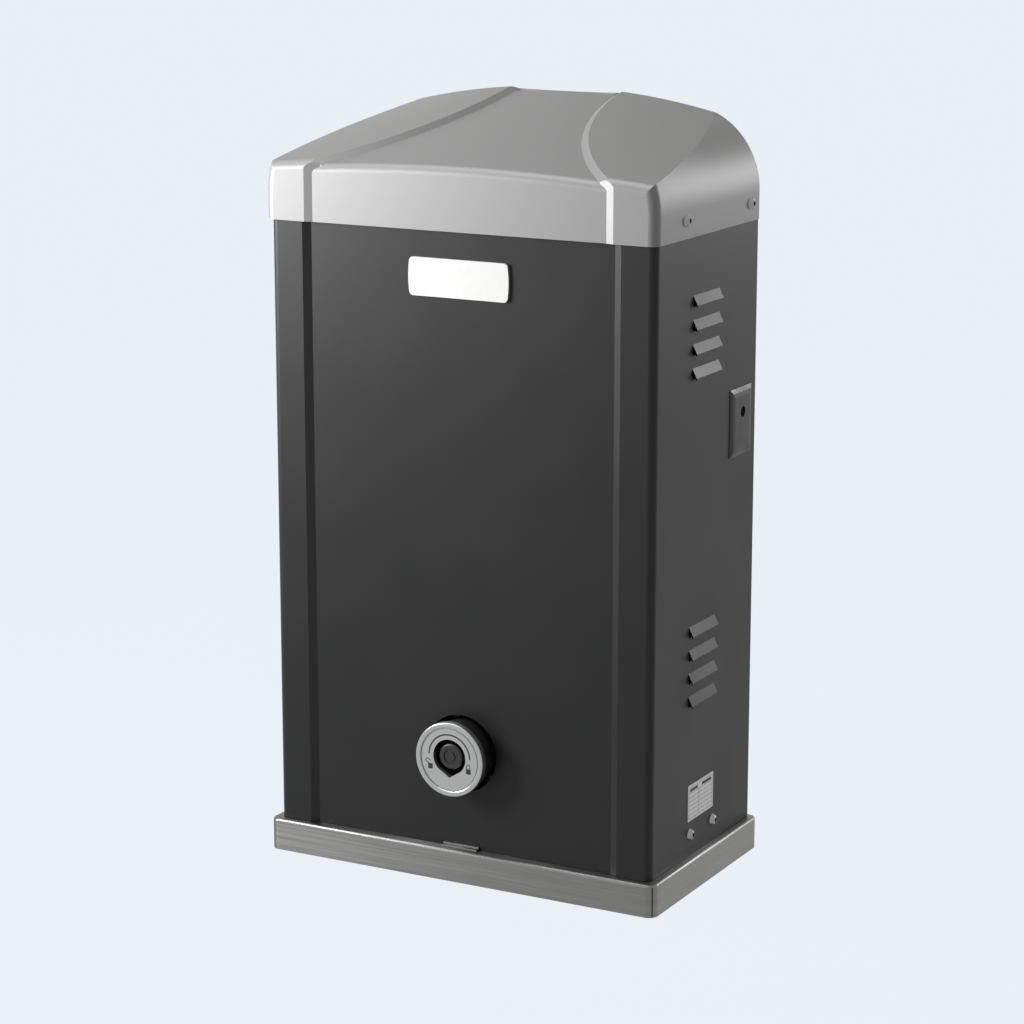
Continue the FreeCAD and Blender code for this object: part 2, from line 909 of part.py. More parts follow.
def boolean(kind, label, base, tool):
    result = doc.addObject("Part::" + kind, label)
    result.Base, result.Tool = base, tool
    result.Label = label
    return result


def round_cap_edges(body, front_y, rear_y):
    """Round the front and rear ends of the cap, except along its lower rim."""
    doc.recompute()
    def rim(level):
        lies = level_edge("Y", level)
        return lambda edge: lies(edge) and edge.BoundBox.ZMax > cap_low.value + 1
    fillet(body, d.cap_edge_radius, rim(front_y), rim(rear_y))


def bowed(half, low, high, bow):
    """A rectangle whose two ends bow outwards."""
    tall, bow = as_size(high - low) / 2, as_size(bow)
    radius = (tall * tall + bow * bow) / (2 * bow)
    centre_x, middle = half + bow - radius, low + tall

    def draw(sketch):
        sides, ends = [], []
        for sign, first, last in ((1, low, high), (-1, high, low)):
            start, end = vector(sign * half, first), vector(sign * half, last)
            centre = vector(sign * centre_x, middle)
            arc = sketch.addGeometry(arc_between(centre, start, end, True))
            pin_point(sketch, arc, 3, sign * centre_x, middle)
            pin_radius(sketch, arc, radius)
            pin(sketch, "DistanceY", arc, 1, first)
            pin(sketch, "DistanceY", arc, 2, last)
            ends.append(arc)
            sides.append(sketch.addGeometry(Part.LineSegment(end, vector(-sign * half, last))))
        for index in (0, 1):
            join(sketch, (ends[index], 2), (sides[index], 1))
            join(sketch, (sides[index], 2), (ends[1 - index], 1))
    return draw


def build_badge_and_label():
    badge = new_body("name_badge")
    pad(badge, "Y", band_face - d.badge_thickness, band_face,
        bowed(d.badge_width / 2 - d.badge_bow, d.badge_level - d.badge_height / 2,
              d.badge_level + d.badge_height / 2, d.badge_bow))
    fillet(badge, d.badge_corner, along("Y"))
    label = new_body("rating_label")
    pad(label, "X", half_width, half_width + d.label_thickness,
        rectangle(d.label_centre - d.label_width / 2, d.label_level - d.label_height / 2,
                  d.label_centre + d.label_width / 2, d.label_level + d.label_height / 2))
    tab = new_body("pull_tab")
    lip = band_face - d.tab_reach
    high = shell_low + d.tab_height
    pad(tab, "X", -d.tab_width / 2, d.tab_width / 2,
        polygon((band_face, shell_low), (band_face, high), (band_face - d.tab_sheet, high),
                (band_face - d.tab_sheet, shell_low + d.tab_sheet),
                (lip, shell_low + d.tab_sheet), (lip, shell_low)))


def button_screw(label, seat, first_y, second_y, z, shank):
    """Four button-head screws, two on each side, with their heads outwards."""
    body = new_body(label)
    place(body, 0, first_y, z)
    head, height = d.screw_head / 2, d.screw_head_height
    stem = d.screw_thread / 2
    turned(body, "X", (seat - shank, 0), (seat - shank, stem), (seat, stem), (seat, head),
           (seat + height * 0.7, head * 0.75), (seat + height, head * 0.45), (seat + height, 0))
    pocket(body, "X", seat + height - d.screw_hex_depth, seat + height + 1,
           regular(0, 0, d.screw_hex))
    repeated(body, "Y", second_y - first_y)
    mirrored(body, "X")


def build_cover_fixings():
    button_screw("cap_screws", cap_side, d.cap_screw_front, d.cap_screw_rear, cap_screw_z,
                 cap_side - inner_side + d.screw_nut_height + 1)
    button_screw("base_screws", half_width, d.base_screw_front, d.base_screw_rear, base_screw_z,
                 d.cabinet_sheet + d.rail_sheet + d.screw_nut_height + 1)
    nuts = new_body("cover_nuts")
    bore = d.screw_thread + 2 * d.running_fit
    for z, face, ys in ((cap_screw_z, inner_side, (d.cap_screw_front, d.cap_screw_rear)),
                        (base_screw_z, inner_side - d.rail_sheet,
                         (d.base_screw_front, d.base_screw_rear))):
        outlines = []
        for y in ys:
            outlines += [regular(y, z, d.screw_nut), circle(y, z, bore)]
        pad(nuts, "X", face - d.screw_nut_height, face, *outlines)
    mirrored(nuts, "X")
    rails = new_body("slide_rails")
    low = shell_low + d.slide_gap
    pad(rails, "Y", d.rail_front, d.rail_rear,
        polygon((inner_side, low), (inner_side, low + d.rail_height),
                (inner_side - d.rail_sheet, low + d.rail_height),
                (inner_side - d.rail_sheet, low + d.rail_sheet),
                (inner_side - d.rail_width, low + d.rail_sheet),
                (inner_side - d.rail_width, low)))
    pocket(rails, "X", 0, half_width,
           *[circle(y, base_screw_z, d.screw_hole)
             for y in (d.base_screw_front, d.base_screw_rear)])
    mirrored(rails, "X")


def lock_plate_outline(share):
    """The lock plate's rim, drawn in by a share of the width of its convex bevel."""
    inset = d.lock_plate_bevel * share
    return rectangle(d.lock_plate_front + inset, d.lock_plate_low + inset,
                     d.lock_plate_rear - inset, d.lock_plate_high - inset)


def build_side_lock():
    plate = new_body("lock_plate")
    rim, shoulder, face = [half_width + d.lock_plate_thickness * share for share in (0.2, 0.8, 1)]
    pad(plate, "X", half_width, rim, lock_plate_outline(0))
    loft(plate, "X", (rim, shoulder, face), [lock_plate_outline(inset) for inset in (0, 0.5, 1)],
         ruled=True)
    pocket(plate, "X", half_width - 1, face + 1,
           circle(d.lock_y, d.lock_z, d.lock_barrel + 2 * d.running_fit))

    barrel = new_body("lock_cylinder")
    place(barrel, 0, d.lock_y, d.lock_z)
    rod(barrel, "X", lock_stub, lock_tip, d.lock_barrel)
    slot, reach = d.key_slot_width / 2, d.key_slot_height / 2
    pocket(barrel, "X", lock_tip - d.key_slot_depth, lock_tip + 1,
           rectangle(-slot, -reach, slot, reach))

    nut = new_body("lock_nut")
    place(nut, 0, d.lock_y, d.lock_z)
    pad(nut, "X", inner_side - d.slide_gap - d.lock_nut_height, inner_side - d.slide_gap,
        regular(0, 0, d.lock_nut), circle(0, 0, d.lock_barrel))

    cam = new_body("lock_cam")
    place(cam, 0, d.lock_y, d.lock_z)
    half = d.lock_cam_width / 2
    pad(cam, "X", lock_stub - d.lock_cam_sheet, lock_stub,
        rectangle(-half, -half, d.lock_cam_reach, half))
    fillet(cam, half / 2, along("X"))


def build_lock_catch():
    catch = new_body("lock_catch")
    middle = lock_stub - d.lock_cam_sheet / 2
    low = d.lock_z + d.lock_cam_width / 2 + d.catch_clearance
    arm = d.lock_z + d.lock_cam_reach + d.catch_clearance + 1
    hook = d.lock_y - d.lock_cam_width / 2 - d.catch_clearance
    back, foot = panel_front, arm + d.catch_foot
    pad(catch, "X", middle - d.catch_width / 2, middle + d.catch_width / 2,
        polygon((hook, low), (hook, arm), (back, arm), (back, foot),
                (back - d.catch_sheet, foot), (back - d.catch_sheet, arm + d.catch_sheet),
                (hook - d.catch_sheet, arm + d.catch_sheet), (hook - d.catch_sheet, low)))


# ---------------------------------------------------------------- plinth, base plate, rear panel


def build_plinth_skirt():
    body = new_body("plinth_skirt")
    outer_x = half_width + d.plinth_margin
    outer_y = rear + d.plinth_margin
    pad(body, "Z", d.ground_gap, d.plinth_height, rectangle(-outer_x, -outer_y, outer_x, outer_y))
    fillet(body, d.plinth_corner, along("Z"))
    fillet(body, d.plinth_edge, level_edge("Z", d.plinth_height))
    inner_x, inner_y = outer_x - d.plinth_sheet, outer_y - d.plinth_sheet
    pocket(body, "Z", 0, d.plinth_height - d.plinth_sheet,
           rectangle(-inner_x, -inner_y, inner_x, inner_y))
    open_x, open_y = outer_x - d.plinth_flange, outer_y - d.plinth_flange
    pocket(body, "Z", 0, d.plinth_height + 1, rectangle(-open_x, -open_y, open_x, open_y))


def build_base_plate():
    body = new_body("base_plate")
    edge_x = half_width + d.plinth_margin - d.plinth_sheet - d.base_gap
    edge_y = rear + d.plinth_margin - d.plinth_sheet - d.base_gap
    rim_top = d.plinth_height - d.plinth_sheet
    pad(body, "Z", 0, rim_top, rectangle(-edge_x, -edge_y, edge_x, edge_y))
    fillet(body, d.plinth_corner - d.plinth_sheet, along("Z"))
    well_x, well_y = edge_x - d.base_rim, edge_y - d.base_rim
    pocket(body, "Z", d.base_floor, rim_top + 1, rectangle(-well_x, -well_y, well_x, well_y))
    anchors = [(sx * d.anchor_spacing_x / 2, sy * d.anchor_spacing_y / 2)
               for sx in (1, -1) for sy in (1, -1)]
    pad(body, "Z", d.base_floor, d.base_floor + d.anchor_boss_rise,
        *[circle(x, y, d.anchor_boss) for x, y in anchors])
    holes = [circle(x, y, d.anchor_hole) for x, y in anchors]
    holes += [circle(sx * d.levelling_x, sy * d.levelling_y,
                     d.levelling_thread + 2 * d.running_fit)
              for sx in (1, -1) for sy in (1, -1)]
    holes.append(circle(d.cable_entry_x, d.cable_entry_y, d.cable_entry_bore))
    pocket(body, "Z", -1, rim_top, *holes)
    screws = new_body("levelling_screws")
    place(screws, -d.levelling_x, -d.levelling_y)
    rod(screws, "Z", 0, d.levelling_length, d.levelling_thread)
    pocket(screws, "Z", d.levelling_length - d.levelling_socket, d.levelling_length + 1,
           regular(0, 0, d.levelling_thread / 2))
    repeated(screws, "X", 2 * d.levelling_x)
    repeated(screws, "Y", 2 * d.levelling_y)


def build_rear_panel():
    body = new_body("rear_panel")
    lip = panel_front - d.panel_flange
    wall = d.panel_sheet
    pad(body, "Z", d.plinth_height, panel_top,
        polygon((-panel_side, panel_rear), (panel_side, panel_rear), (panel_side, lip),
                (panel_side - wall, lip), (panel_side - wall, panel_front),
                (-panel_side + wall, panel_front), (-panel_side + wall, lip), (-panel_side, lip)))
    pad(body, "Z", d.plinth_height, d.plinth_height + wall,
        rectangle(-panel_side + wall, lip, panel_side - wall, panel_front))
    pocket(body, "Y", panel_front - 1, panel_rear + 1,
           circle(0, d.release_z, d.gear_nose + 2 * d.panel_clearance),
           circle(0, d.limit_z, d.limit_shaft + d.panel_clearance))
    pocket(body, "Z", d.plinth_height - 1, d.plinth_height + wall + 1,
           rectangle(-d.gear_nose / 2 - 1, 0, d.gear_nose / 2 + 1, panel_front - 0.5))


def build_shelf():
    body = new_body("shelf_bracket")
    half = inner_side - d.shelf_side_gap
    far = panel_front - d.shelf_depth
    wall = d.shelf_sheet
    pad(body, "Z", d.shelf_level, shelf_top, rectangle(-half, far, half, panel_front))
    pad(body, "Z", shelf_top, shelf_top + d.shelf_upstand,
        rectangle(-half, panel_front - wall, half, panel_front))
    for low, high in ((-half, -half + wall), (half - wall, half)):
        pad(body, "X", low, high,
            polygon((panel_front, d.shelf_level), (panel_front, d.shelf_level - d.gusset_drop),
                    (panel_front - d.gusset_reach, d.shelf_level)))


def build_control_unit():
    case = new_body("control_case")
    half = d.case_width / 2
    back = panel_front - d.shelf_sheet - 1
    near = back - d.case_depth
    top = shelf_top + d.case_height
    wall = d.case_wall
    pad(case, "Z", shelf_top, top, rectangle(-half, near, half, back))
    fillet(case, d.case_corner, along("Y"))
    pocket(case, "Y", near - 1, back - wall,
           rectangle(-half + wall, shelf_top + wall, half - wall, top - wall))
    lid = new_body("control_lid")
    pad(lid, "Y", near - d.lid_thickness, near, rectangle(-half, shelf_top, half, top))
    fillet(lid, d.case_corner, along("Y"))
    fillet(lid, d.lid_edge, level_edge("Y", near - d.lid_thickness))
    board = new_body("control_board")
    face, margin, inset = back - d.board_setback, d.board_margin, d.board_stand_inset
    pad(board, "Y", face, face + d.board_thickness,
        rectangle(-half + margin, shelf_top + margin, half - margin, top - margin))
    stands = [(sx * (half - inset), z) for sx in (1, -1) for z in (shelf_top + inset, top - inset)]
    pad(board, "Y", face + d.board_thickness, back - wall,
        *[circle(x, z, d.board_stand) for x, z in stands])
    left = -half + d.component_inset
    pad(board, "Y", face - d.component_reach, face,
        rectangle(left, shelf_top + d.component_foot, left + d.component_width,
                  top - d.component_head),
        rectangle(d.relay_left, shelf_top + d.relay_foot, d.relay_left + d.relay_width,
                  shelf_top + d.relay_foot + d.relay_height))
    glands = new_body("cable_glands")
    place(glands, 0, near + d.gland_setback, shelf_top + d.case_height / 2)
    pad(glands, "X", half, half + d.gland_length / 2, regular(0, 0, d.gland_diameter))
    rod(glands, "X", half + d.gland_length / 2, half + d.gland_length, d.gland_diameter * 0.8)
    repeated(glands, "Y", d.gland_pitch, 3)


def build_power_supply():
    core = new_body("transformer_core")
    place(core, transformer_x, d.transformer_y, d.base_floor)
    half, deep = d.transformer_width / 2, d.transformer_depth / 2
    leg = d.transformer_width / 5
    high = d.transformer_height
    pad(core, "Y", -deep, deep,
        rectangle(-half, 0, half, high),
        rectangle(-half + leg, leg, -leg / 2, high - leg),
        rectangle(leg / 2, leg, half - leg, high - leg))
    coil = new_body("transformer_coil")
    place(coil, transformer_x, d.transformer_y, d.base_floor)
    gap = d.slide_gap
    outer_x, outer_y = half - leg - gap, deep + d.coil_reach
    pad(coil, "Z", leg + gap, high - leg - gap,
        rectangle(-outer_x, -outer_y, outer_x, outer_y),
        rectangle(-leg / 2 - gap, -deep - gap, leg / 2 + gap, deep + gap))
    fillet(coil, d.coil_corner, along("Z", x=(outer_x, -outer_x)))

    bar = new_body("din_rail")
    half = d.rail_bar_width / 2
    low = d.rail_bar_level - d.rail_bar_height / 2
    high = d.rail_bar_level + d.rail_bar_height / 2
    face = panel_front - d.rail_bar_depth
    skin, fold = d.rail_bar_skin, d.rail_bar_fold
    place(bar, transformer_x, 0, 0)
    pad(bar, "X", -half, half,
        polygon((panel_front, low + fold), (panel_front, high - fold), (face + skin, high - fold),
                (face + skin, high), (face, high), (face, high - fold - skin),
                (panel_front - skin, high - fold - skin), (panel_front - skin, low + fold + skin),
                (face, low + fold + skin), (face, low), (face + skin, low),
                (face + skin, low + fold)))
    block = new_body("terminal_block")
    count = d.terminal_count
    place(block, transformer_x - count * d.terminal_pitch / 2, 0, 0)
    bottom, top = low - d.terminal_overhang, high + d.terminal_overhang
    step, tip = face - d.terminal_step, face - d.terminal_depth
    pad(block, "X", 0, d.terminal_pitch - d.terminal_gap,
        polygon((face, bottom), (face, top), (step, top), (tip, high - d.terminal_slope),
                (tip, low + d.terminal_slope), (step, bottom)))
    repeated(block, "X", d.terminal_pitch, count)


# ---------------------------------------------------------------- gearbox


def gearbox_outline(low):
    return rectangle(cavity_left - d.gear_wall, low, cavity_right + d.gear_wall, gear_top)


def build_gearbox():
    body = new_body("gearbox_housing")
    floor = d.base_floor
    left, right = cavity_left - d.gear_wall, cavity_right + d.gear_wall
    pad(body, "Y", gear_front, gear_rear, gearbox_outline(floor))
    fillet(body, d.gear_wall, along("Z", y=(gear_rear,)))
    reach = d.gear_foot_reach
    pad(body, "Z", floor, floor + d.gear_foot,
        rectangle(left - reach, gear_front, right + reach, gear_rear))
    pad_half = d.motor_pad / 2
    pad(body, "Z", cavity_high, gear_top,
        rectangle(-worm_offset - pad_half, gear_front, -worm_offset + pad_half, pad_half))
    pad(body, "Y", gear_rear, nose_rear, circle(0, d.release_z, d.gear_nose))
    pocket(body, "Y", gear_front - 1, cavity_rear,
           rectangle(cavity_left, cavity_low, cavity_right, cavity_high))
    bearing_rear = cavity_rear + d.bearing_width
    pocket(body, "Y", cavity_rear - 1, bearing_rear, circle(0, d.release_z, d.output_bearing))
    pocket(body, "Y", bearing_rear - 1, nose_rear + 1,
           circle(0, d.release_z, d.output_shaft + 2 * d.nose_clearance))
    pocket(body, "Y", nose_rear - d.seal_width, nose_rear + 1,
           circle(0, d.release_z, d.worm_bearing))
    pocket(body, "Z", cavity_high - 1, gear_top + 1, circle(-worm_offset, 0, d.worm_bearing))
    pocket(body, "Z", cavity_low - d.bearing_width, cavity_low + 1,
           circle(-worm_offset, 0, d.worm_bearing))

    cover = new_body("gearbox_cover")
    face = gear_front - d.gear_cover
    hub = face - d.gear_wall
    pad(cover, "Y", face, gear_front, gearbox_outline(floor + d.gear_foot))
    fillet(cover, d.gear_wall, along("Y", x=(left, right)))
    pad(cover, "Y", hub, face, circle(0, disc_z, d.release_collar + 2 * d.collar_seat))
    pocket(cover, "Y", bearing_front, gear_front + 1, circle(0, d.release_z, d.output_bearing))
    pocket(cover, "Y", hub - 1, bearing_front + 1,
           circle(0, d.release_z, d.release_spindle + 2 * d.running_fit))

    bolts = new_body("gearbox_bolts")
    inset, height = d.gear_bolt_inset, d.gear_bolt_height
    spots = [(left + inset, z) for z in (cavity_low, d.release_z, cavity_high)]
    spots += [(right - inset, z) for z in (cavity_low, d.release_z, cavity_high)]
    pad(bolts, "Y", face - height, face, *[circle(x, z, d.gear_bolt_head) for x, z in spots])
    pocket(bolts, "Y", face - height - 1, face - height + d.gear_bolt_hex_depth,
           *[regular(x, z, d.gear_bolt_hex) for x, z in spots])

    plugs = new_body("oil_plugs")
    pad(plugs, "Y", face - d.plug_height, face,
        regular(right / 2, cavity_low - d.plug_drop, d.plug_across),
        regular(left / 2, cavity_high + d.plug_rise, d.plug_across))

    feet = new_body("foot_bolts")
    top = floor + d.gear_foot
    spots = [(x, y) for x in (left - reach / 2, right + reach / 2)
             for y in (gear_front + d.foot_bolt_inset, gear_rear - d.foot_bolt_inset)]
    pad(feet, "Z", top, top + d.foot_bolt_height,
        *[regular(x, y, d.foot_bolt_across) for x, y in spots])


def build_output_train():
    z = d.release_z
    half = d.wheel_face / 2
    slot_low = -half - d.clutch_slot - d.shift_stroke - d.clutch_slot_margin
    slot_high = -half - d.clutch_slot_margin
    slot_side = d.shift_pin / 2 + 2 * d.running_fit
    slot_middle = (slot_low + slot_high) / 2
    pin_y = slot_middle + d.shift_stroke / 2
    turning_bore = d.output_shaft + 2 * d.running_fit

    shaft = new_body("output_shaft")
    place(shaft, 0, 0, z)
    start = bearing_front + 1
    rod(shaft, "Y", start, pinion_rear, d.output_shaft)
    pocket(shaft, "Y", start - 1, -half, circle(0, 0, d.shift_rod + 2 * d.running_fit))
    pocket(shaft, "X", -d.output_shaft, d.output_shaft,
           rectangle(slot_low, -slot_side, slot_high, slot_side))

    wheel = new_body("worm_wheel")
    place(wheel, 0, 0, z)
    rim, inner = wheel_radius + d.worm_module, wheel_radius - 3 * d.worm_module
    bore, hub = turning_bore / 2, d.output_shaft / 2 + d.wheel_hub_wall
    nose, web = half + d.wheel_hub_proud, half * 0.4
    turned(wheel, "Y", (-half, bore), (nose, bore), (nose, hub), (web, hub),
           (web, inner), (half, inner), (half, rim), (-half, rim), (-half, inner),
           (-web, inner), (-web, hub), (-half, hub))
    cut_wheel_gap(wheel, half)
    polar(wheel, "Y", d.wheel_teeth)
    spacer = new_body("wheel_spacer")
    place(spacer, 0, 0, z)
    ring(spacer, "Y", nose, cavity_rear, d.output_shaft + 2 * d.spacer_wall, turning_bore)

    sleeve = new_body("clutch_sleeve")
    place(sleeve, 0, 0, z)
    ring(sleeve, "Y", -half - d.clutch_length - d.shift_stroke, -half - d.shift_stroke / 2,
         d.output_shaft + 2 * d.clutch_wall, turning_bore)
    pocket(sleeve, "X", -d.output_shaft, d.output_shaft, circle(pin_y, 0, d.shift_pin))
    link = new_body("shift_rod")
    place(link, 0, 0, z)
    reach = d.output_shaft / 2 + d.shift_pin_reach
    rod(link, "Y", gear_front - d.gear_cover - d.shift_rod_reach,
        slot_middle + d.shift_rod_tail, d.shift_rod)
    pad(link, "X", -reach, reach, circle(pin_y, 0, d.shift_pin - 2 * d.running_fit))

    bearings = new_body("output_bearings")
    place(bearings, 0, 0, z)
    for seat in (bearing_front, cavity_rear):
        ring(bearings, "Y", seat, seat + d.bearing_width, d.output_bearing, turning_bore)

    seal = new_body("output_seal")
    place(seal, 0, 0, z)
    ring(seal, "Y", nose_rear - d.seal_width, nose_rear, d.worm_bearing, turning_bore)


# Tooth heights in modules, and the slope of a flank that leans by 20 degrees.
WORM_ROOT = 1.2
WORM_FOOT = 1.1
WORM_TIP = 0.95
FLANK = 0.36


def cut_wheel_gap(wheel, half):
    """One tooth gap, cut slantwise across the rim at the worm's lead angle."""
    start = -half - 1
    root = wheel_radius - WORM_ROOT * d.worm_module
    outside = wheel_radius + 1.5 * d.worm_module
    slope = d.worm_module / d.worm_diameter
    drift = start * slope
    low = 0.9 * d.worm_module * 0.55
    high = d.worm_module * 1.45
    sketch = sketch_on(wheel, "Y", start)
    polygon((-root, drift - low), (-root, drift + low), (-outside, drift + high),
            (-outside, drift - high))(sketch)
    gap = add_feature(wheel, "Pocket", sketch)
    gap.UseCustomVector = True
    gap.Direction = Vector(0, 1, slope.value)
    bind(gap, "Length", 2 * half + 2)
    gap.Reversed = False
    return gap


def build_worm():
    body = new_body("worm_shaft")
    place(body, -worm_offset, 0, d.release_z)
    low = cavity_low - d.bearing_width - d.release_z
    top = shield_top + d.fan_gap + d.fan_height - d.release_z
    root = d.worm_diameter / 2 - WORM_ROOT * d.worm_module
    pitch = PI * d.worm_module
    half = (d.worm_turns + 1) * pitch / 2
    stem = d.worm_shaft / 2
    turned(body, "Z", (low, 0), (low, stem), (-half, stem), (-half, root),
           (half, root), (half, stem), (top, stem), (top, 0))
    sketch = sketch_on(body, "Y", 0)
    tip = d.worm_diameter / 2 + WORM_TIP * d.worm_module
    foot = root - 0.2
    wide = pitch / 4 + WORM_FOOT * d.worm_module * FLANK - d.worm_backlash
    narrow = pitch / 4 - WORM_TIP * d.worm_module * FLANK - d.worm_backlash
    down = pitch * d.worm_turns / 2
    polygon((foot, -down - wide), (tip, -down - narrow), (tip, -down + narrow),
            (foot, -down + wide))(sketch)
    helix = add_feature(body, "AdditiveHelix", sketch)
    helix.ReferenceAxis = (sketch, ["V_Axis"])
    helix.Mode = "pitch-height-angle"
    bind(helix, "Pitch", pitch)
    bind(helix, "Height", pitch * d.worm_turns)

    bearings = new_body("worm_bearings")
    place(bearings, -worm_offset, 0, 0)
    bore = d.worm_shaft + 2 * d.running_fit
    for level in (cavity_low - d.bearing_width, cavity_high, stator_top):
        ring(bearings, "Z", level, level + d.bearing_width, d.worm_bearing, bore)


# ---------------------------------------------------------------- motor


COWL_SLOT_REACHES = (20, 30, 35, 38, 35, 30, 20)


def build_motor():
    flange = new_body("motor_flange")
    place(flange, -worm_offset, 0, 0)
    half = d.motor_pad / 2
    pad(flange, "Z", gear_top, flange_top, rectangle(-half, gear_front, half, half),
        circle(0, 0, d.worm_shaft + 2 * d.shaft_clearance))
    fillet(flange, d.flange_corner, along("Z"))
    bolts = new_body("motor_bolts")
    place(bolts, -worm_offset, 0, 0)
    across, top = half - d.motor_bolt_inset, flange_top + d.motor_bolt_height
    spots = [(sign * across, y) for sign in (1, -1)
             for y in (gear_front + d.motor_bolt_inset, across)]
    pad(bolts, "Z", flange_top, top, *[circle(x, y, d.motor_bolt_head) for x, y in spots])
    pocket(bolts, "Z", top - d.motor_bolt_hex_depth, top + 1,
           *[regular(x, y, d.motor_bolt_hex) for x, y in spots])

    housing = new_body("motor_housing")
    place(housing, -worm_offset, 0, 0)
    outer = d.stator_bore + 2 * d.stator_wall
    ring(housing, "Z", flange_top, stator_top, outer, d.stator_bore)
    reach = outer / 2 + d.fin_height
    pad(housing, "Z", flange_top + d.fin_margin, stator_top - d.fin_margin,
        rectangle(outer / 2 - 1, -d.fin_width / 2, reach, d.fin_width / 2))
    polar(housing, "Z", d.fin_count)

    core = new_body("stator_core")
    place(core, -worm_offset, 0, 0)
    ring(core, "Z", core_low, core_high, d.stator_bore, d.rotor_diameter + 2 * d.air_gap)
    winding = new_body("stator_windings")
    place(winding, -worm_offset, 0, 0)
    for low in (core_low - d.winding_height, core_high):
        ring(winding, "Z", low, low + d.winding_height, d.stator_bore - 2 * d.winding_gap,
             d.rotor_diameter + 2 * d.winding_clearance)

    rotor = new_body("rotor_core")
    place(rotor, -worm_offset, 0, 0)
    ring(rotor, "Z", core_low, core_high, d.rotor_diameter, d.worm_shaft)

    shield = new_body("motor_end_shield")
    place(shield, -worm_offset, 0, 0)
    ring(shield, "Z", stator_top, shield_top, outer + 2 * d.shield_overhang, d.worm_bearing)

    fan = new_body("cooling_fan")
    place(fan, -worm_offset, 0, 0)
    low = shield_top + d.fan_gap
    disc, high = low + d.fan_disc, low + d.fan_height
    hub = d.worm_shaft + 2 * d.fan_hub_wall
    ring(fan, "Z", low, disc, d.fan_diameter, d.worm_shaft)
    ring(fan, "Z", disc, high, hub, d.worm_shaft)
    pad(fan, "Z", disc, high,
        rectangle(hub / 2 - d.fan_blade_inset, -d.fan_blade / 2,
                  d.fan_diameter / 2 - d.fan_blade_inset, d.fan_blade / 2))
    polar(fan, "Z", d.fan_blades)

    cowl = new_body("fan_cowl")
    place(cowl, -worm_offset, 0, 0)
    wall = d.cowl_sheet
    top = shield_top + d.cowl_height
    edge, bevel = outer / 2 + d.cowl_overhang, d.cowl_edge
    turned(cowl, "Z", (stator_top, edge - wall), (top - wall - bevel, edge - wall),
           (top - wall, edge - wall - bevel), (top - wall, 0), (top, 0), (top, edge - bevel),
           (top - bevel, edge), (stator_top, edge))
    half_slot = d.cowl_slot / 2
    slots = []
    for index, reach in enumerate(COWL_SLOT_REACHES):
        middle = d.cowl_slot_pitch * (index - 3)
        slots.append(rectangle(middle - half_slot, -reach, middle + half_slot, reach))
    pocket(cowl, "Z", top - wall - 1, top + 1, *slots)


# ---------------------------------------------------------------- release lock and limit switch


def teardrop(x, z, diameter, point):
    """A round opening drawn down to a point."""
    def draw(sketch):
        radius = as_size(diameter) / 2
        flank = radius * 0.7
        centre = vector(x, z)
        round_it = Part.Circle(centre, Vector(0, 0, 1), radius.value)
        ends = [(x + flank, z - flank), (x - flank, z - flank)]
        first = round_it.parameter(vector(*ends[0]))
        last = round_it.parameter(vector(*ends[1]))
        arc = sketch.addGeometry(Part.ArcOfCircle(round_it, first, last))
        tip = (x, z - point)
        right = sketch.addGeometry(Part.LineSegment(vector(*tip), vector(*ends[0])))
        left = sketch.addGeometry(Part.LineSegment(vector(*ends[1]), vector(*tip)))
        pin_point(sketch, arc, 3, x, z)
        pin_radius(sketch, arc, radius)
        pin(sketch, "DistanceX", arc, 1, ends[0][0])
        pin(sketch, "DistanceX", arc, 2, ends[1][0])
        pin_point(sketch, right, 1, *tip)
        join(sketch, (left, 2), (right, 1))
        join(sketch, (right, 2), (arc, 1))
        join(sketch, (left, 1), (arc, 2))
    return draw


def build_release():
    hub = gear_front - d.gear_cover - d.gear_wall
    collar = new_body("release_collar")
    place(collar, 0, 0, disc_z)
    ring(collar, "Y", collar_front, hub, d.release_collar,
         d.release_collar - 2 * d.release_collar_wall)

    bezel = new_body("release_bezel")
    place(bezel, 0, 0, disc_z)
    face = disc_front
    outer = d.release_disc / 2
    rim = outer - d.release_disc_rim
    field = face + d.release_rim_height
    groove = field + d.release_groove_depth
    turned(bezel, "Y", (collar_front, 0), (collar_front, outer), (face, outer), (face, rim),
           (groove, rim), (groove, rim - d.release_groove), (field, rim - d.release_groove),
           (field, 0))
    fillet(bezel, d.release_rim_round, level_edge("Y", face))
    pocket(bezel, "Y", face - 1, collar_front + 1,
           teardrop(0, d.release_drop, d.release_opening, d.release_point))

    boss = new_body("release_cylinder")
    place(boss, 0, 0, d.release_z)
    tip = face + d.release_boss_setback
    half = d.release_boss / 2
    stem = d.release_spindle / 2
    tail = gear_front - d.gear_cover
    groove = tip + d.release_boss_groove
    step = tip + d.release_boss_length
    bore = d.shift_rod / 2 + d.running_fit
    socket = tail - d.shift_stroke - d.shift_rod_socket
    turned(boss, "Y", (tip, 0), (tip, half * 0.35), (groove, half * 0.35),
           (groove, half * 0.6), (tip, half * 0.6), (tip, half * 0.9), (groove, half),
           (step, half), (step, stem), (tail, stem), (tail, bore), (socket, bore), (socket, 0))


